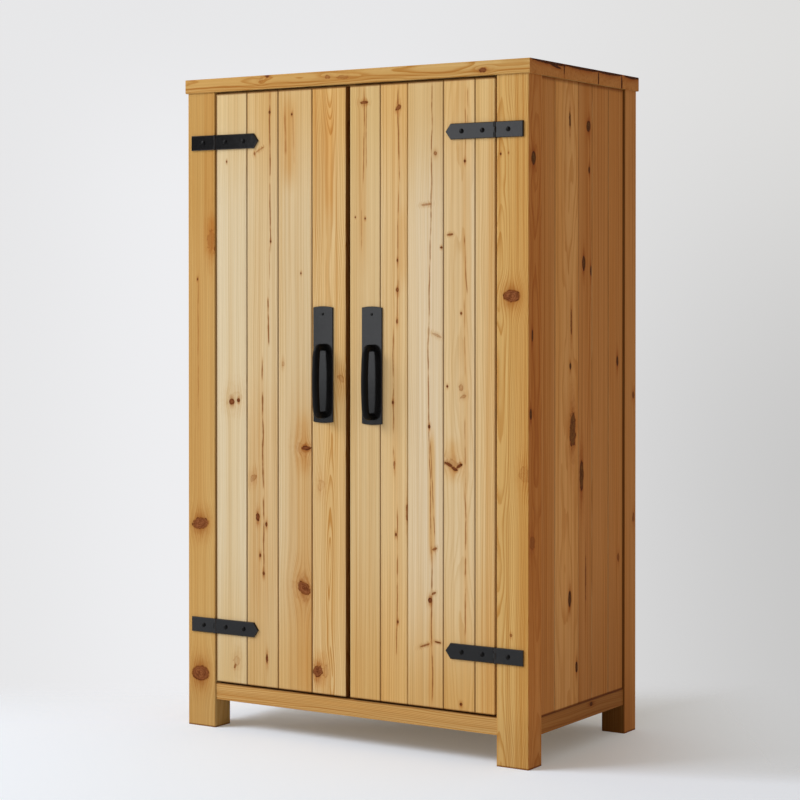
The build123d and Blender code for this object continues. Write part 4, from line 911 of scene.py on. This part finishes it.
def floor():
    """A pale floor that takes the shadow near the armoire and fades into the backdrop."""
    mesh = bpy.data.meshes.new("studio_floor")
    shape = bmesh.new()
    bmesh.ops.create_circle(shape, cap_ends=True, segments=96, radius=FLOOR_RADIUS)
    shape.to_mesh(mesh)
    shape.free()
    ground = bpy.data.objects.new("studio_floor", mesh)
    bpy.context.scene.collection.objects.link(ground)
    material, tree = new_material("studio_floor_paint")
    place = add(tree, "TexCoord").outputs["Object"]
    turn = math.radians(CAMERA_ROUND)
    behind = vector(tree, "DOT_PRODUCT", place, (-math.sin(turn), math.cos(turn), 0.0))
    right = vector(tree, "DOT_PRODUCT", place, (math.cos(turn), math.sin(turn), 0.0))
    right = calc(tree, "MULTIPLY", smooth(tree, right, *FADE_RIGHT), smooth(tree, behind, *FADE_RIGHT_BEHIND))
    far = calc(tree, "MAXIMUM", smooth(tree, behind, *FADE_BEHIND), right)
    paint = add(tree, "BsdfPrincipled", {"Base Color": FLOOR_PAINT, "Roughness": 0.9})
    paint.inputs["Specular IOR Level"].default_value = 0.0
    rays = add(tree, "LightPath").outputs
    seen = calc(tree, "MAXIMUM", rays["Is Camera Ray"], rays["Is Glossy Ray"])
    seen = calc(tree, "MAXIMUM", seen, rays["Is Transmission Ray"])
    lift = add(tree, "Emission", {"Color": FLOOR_LIFT, "Strength": seen})
    near = add(tree, "AddShader", {0: paint.outputs[0], 1: lift.outputs[0]})
    clear = add(tree, "BsdfTransparent")
    mixed = add(tree, "MixShader", {0: calc(tree, "MULTIPLY", seen, far), 1: near.outputs[0], 2: clear.outputs[0]})
    tree.links.new(mixed.outputs[0], add(tree, "OutputMaterial").inputs[0])
    mesh.materials.append(material)


def backdrop_colour(tree, way):
    """Pale on the left with a soft glow behind the armoire, dimmer low on the right."""
    turn = math.radians(CAMERA_ROUND)
    side = vector(tree, "DOT_PRODUCT", way, (math.cos(turn), math.sin(turn), 0.0))
    rise = parts_of(tree, way)["Z"]
    glow = smooth(tree, calc(tree, "ABSOLUTE", calc(tree, "SUBTRACT", side, GLOW_MIDDLE)), *GLOW_REACH)
    glow = calc(tree, "MULTIPLY", glow, smooth(tree, rise, *GLOW_RISE))
    pale = tint(tree, glow, BACKDROP_LEFT, BACKDROP_GLOW)
    dim = tint(tree, smooth(tree, rise, *DIM_RISE), BACKDROP_HIGH_RIGHT, BACKDROP_LOW_RIGHT)
    return tint(tree, smooth(tree, side, *DIM_SIDE), pale, dim)


def room():
    """Even room light; the camera sees the backdrop, gloss sees it too with a dim studio behind the camera."""
    turn = math.radians(CAMERA_ROUND)
    world = bpy.data.worlds.new("studio")
    world.use_nodes = True
    tree = world.node_tree
    tree.nodes.clear()
    way = vector(tree, "NORMALIZE", add(tree, "TexCoord").outputs["Generated"])
    pale = backdrop_colour(tree, way)
    ahead = vector(tree, "DOT_PRODUCT", way, (-math.sin(turn), math.cos(turn), 0.0))
    mirrored = tint(tree, smooth(tree, ahead, *STUDIO_AHEAD), pale, ROOM_BEHIND_CAMERA)
    rays = add(tree, "LightPath").outputs
    light = add(tree, "Background", {"Color": ROOM_COLOUR, "Strength": ROOM_LIGHT})
    seen = add(tree, "Background", {"Color": tint(tree, rays["Is Glossy Ray"], pale, mirrored)})
    shown = calc(tree, "MAXIMUM", rays["Is Camera Ray"], rays["Is Transmission Ray"])
    shown = calc(tree, "MAXIMUM", shown, rays["Is Glossy Ray"])
    mixed = add(tree, "MixShader", {0: shown, 1: light.outputs[0], 2: seen.outputs[0]})
    tree.links.new(mixed.outputs[0], add(tree, "OutputWorld").inputs[0])
    bpy.context.scene.world = world


def softbox(name, turn, lift, reach, size, power):
    turn, lift = math.radians(turn), math.radians(lift)
    way = Vector((-math.sin(turn) * math.cos(lift), -math.cos(turn) * math.cos(lift), math.sin(lift)))
    data = bpy.data.lights.new(name, "AREA")
    data.shape = "RECTANGLE"
    data.size, data.size_y = size
    data.energy = power
    data.color = LAMP_COLOUR
    lamp = bpy.data.objects.new(name, data)
    lamp.location = Vector(LAMP_AIM) + way * reach
    lamp.rotation_euler = way.to_track_quat("Z", "Y").to_euler()
    bpy.context.scene.collection.objects.link(lamp)


bpy.context.scene.view_settings.view_transform = "Standard"
camera()
floor()
room()
softbox("key_lamp", **KEY_LAMP)
softbox("front_lamp", **FRONT_LAMP)
dress_doors()
dress_carcase()
dress_iron()
fix_together()
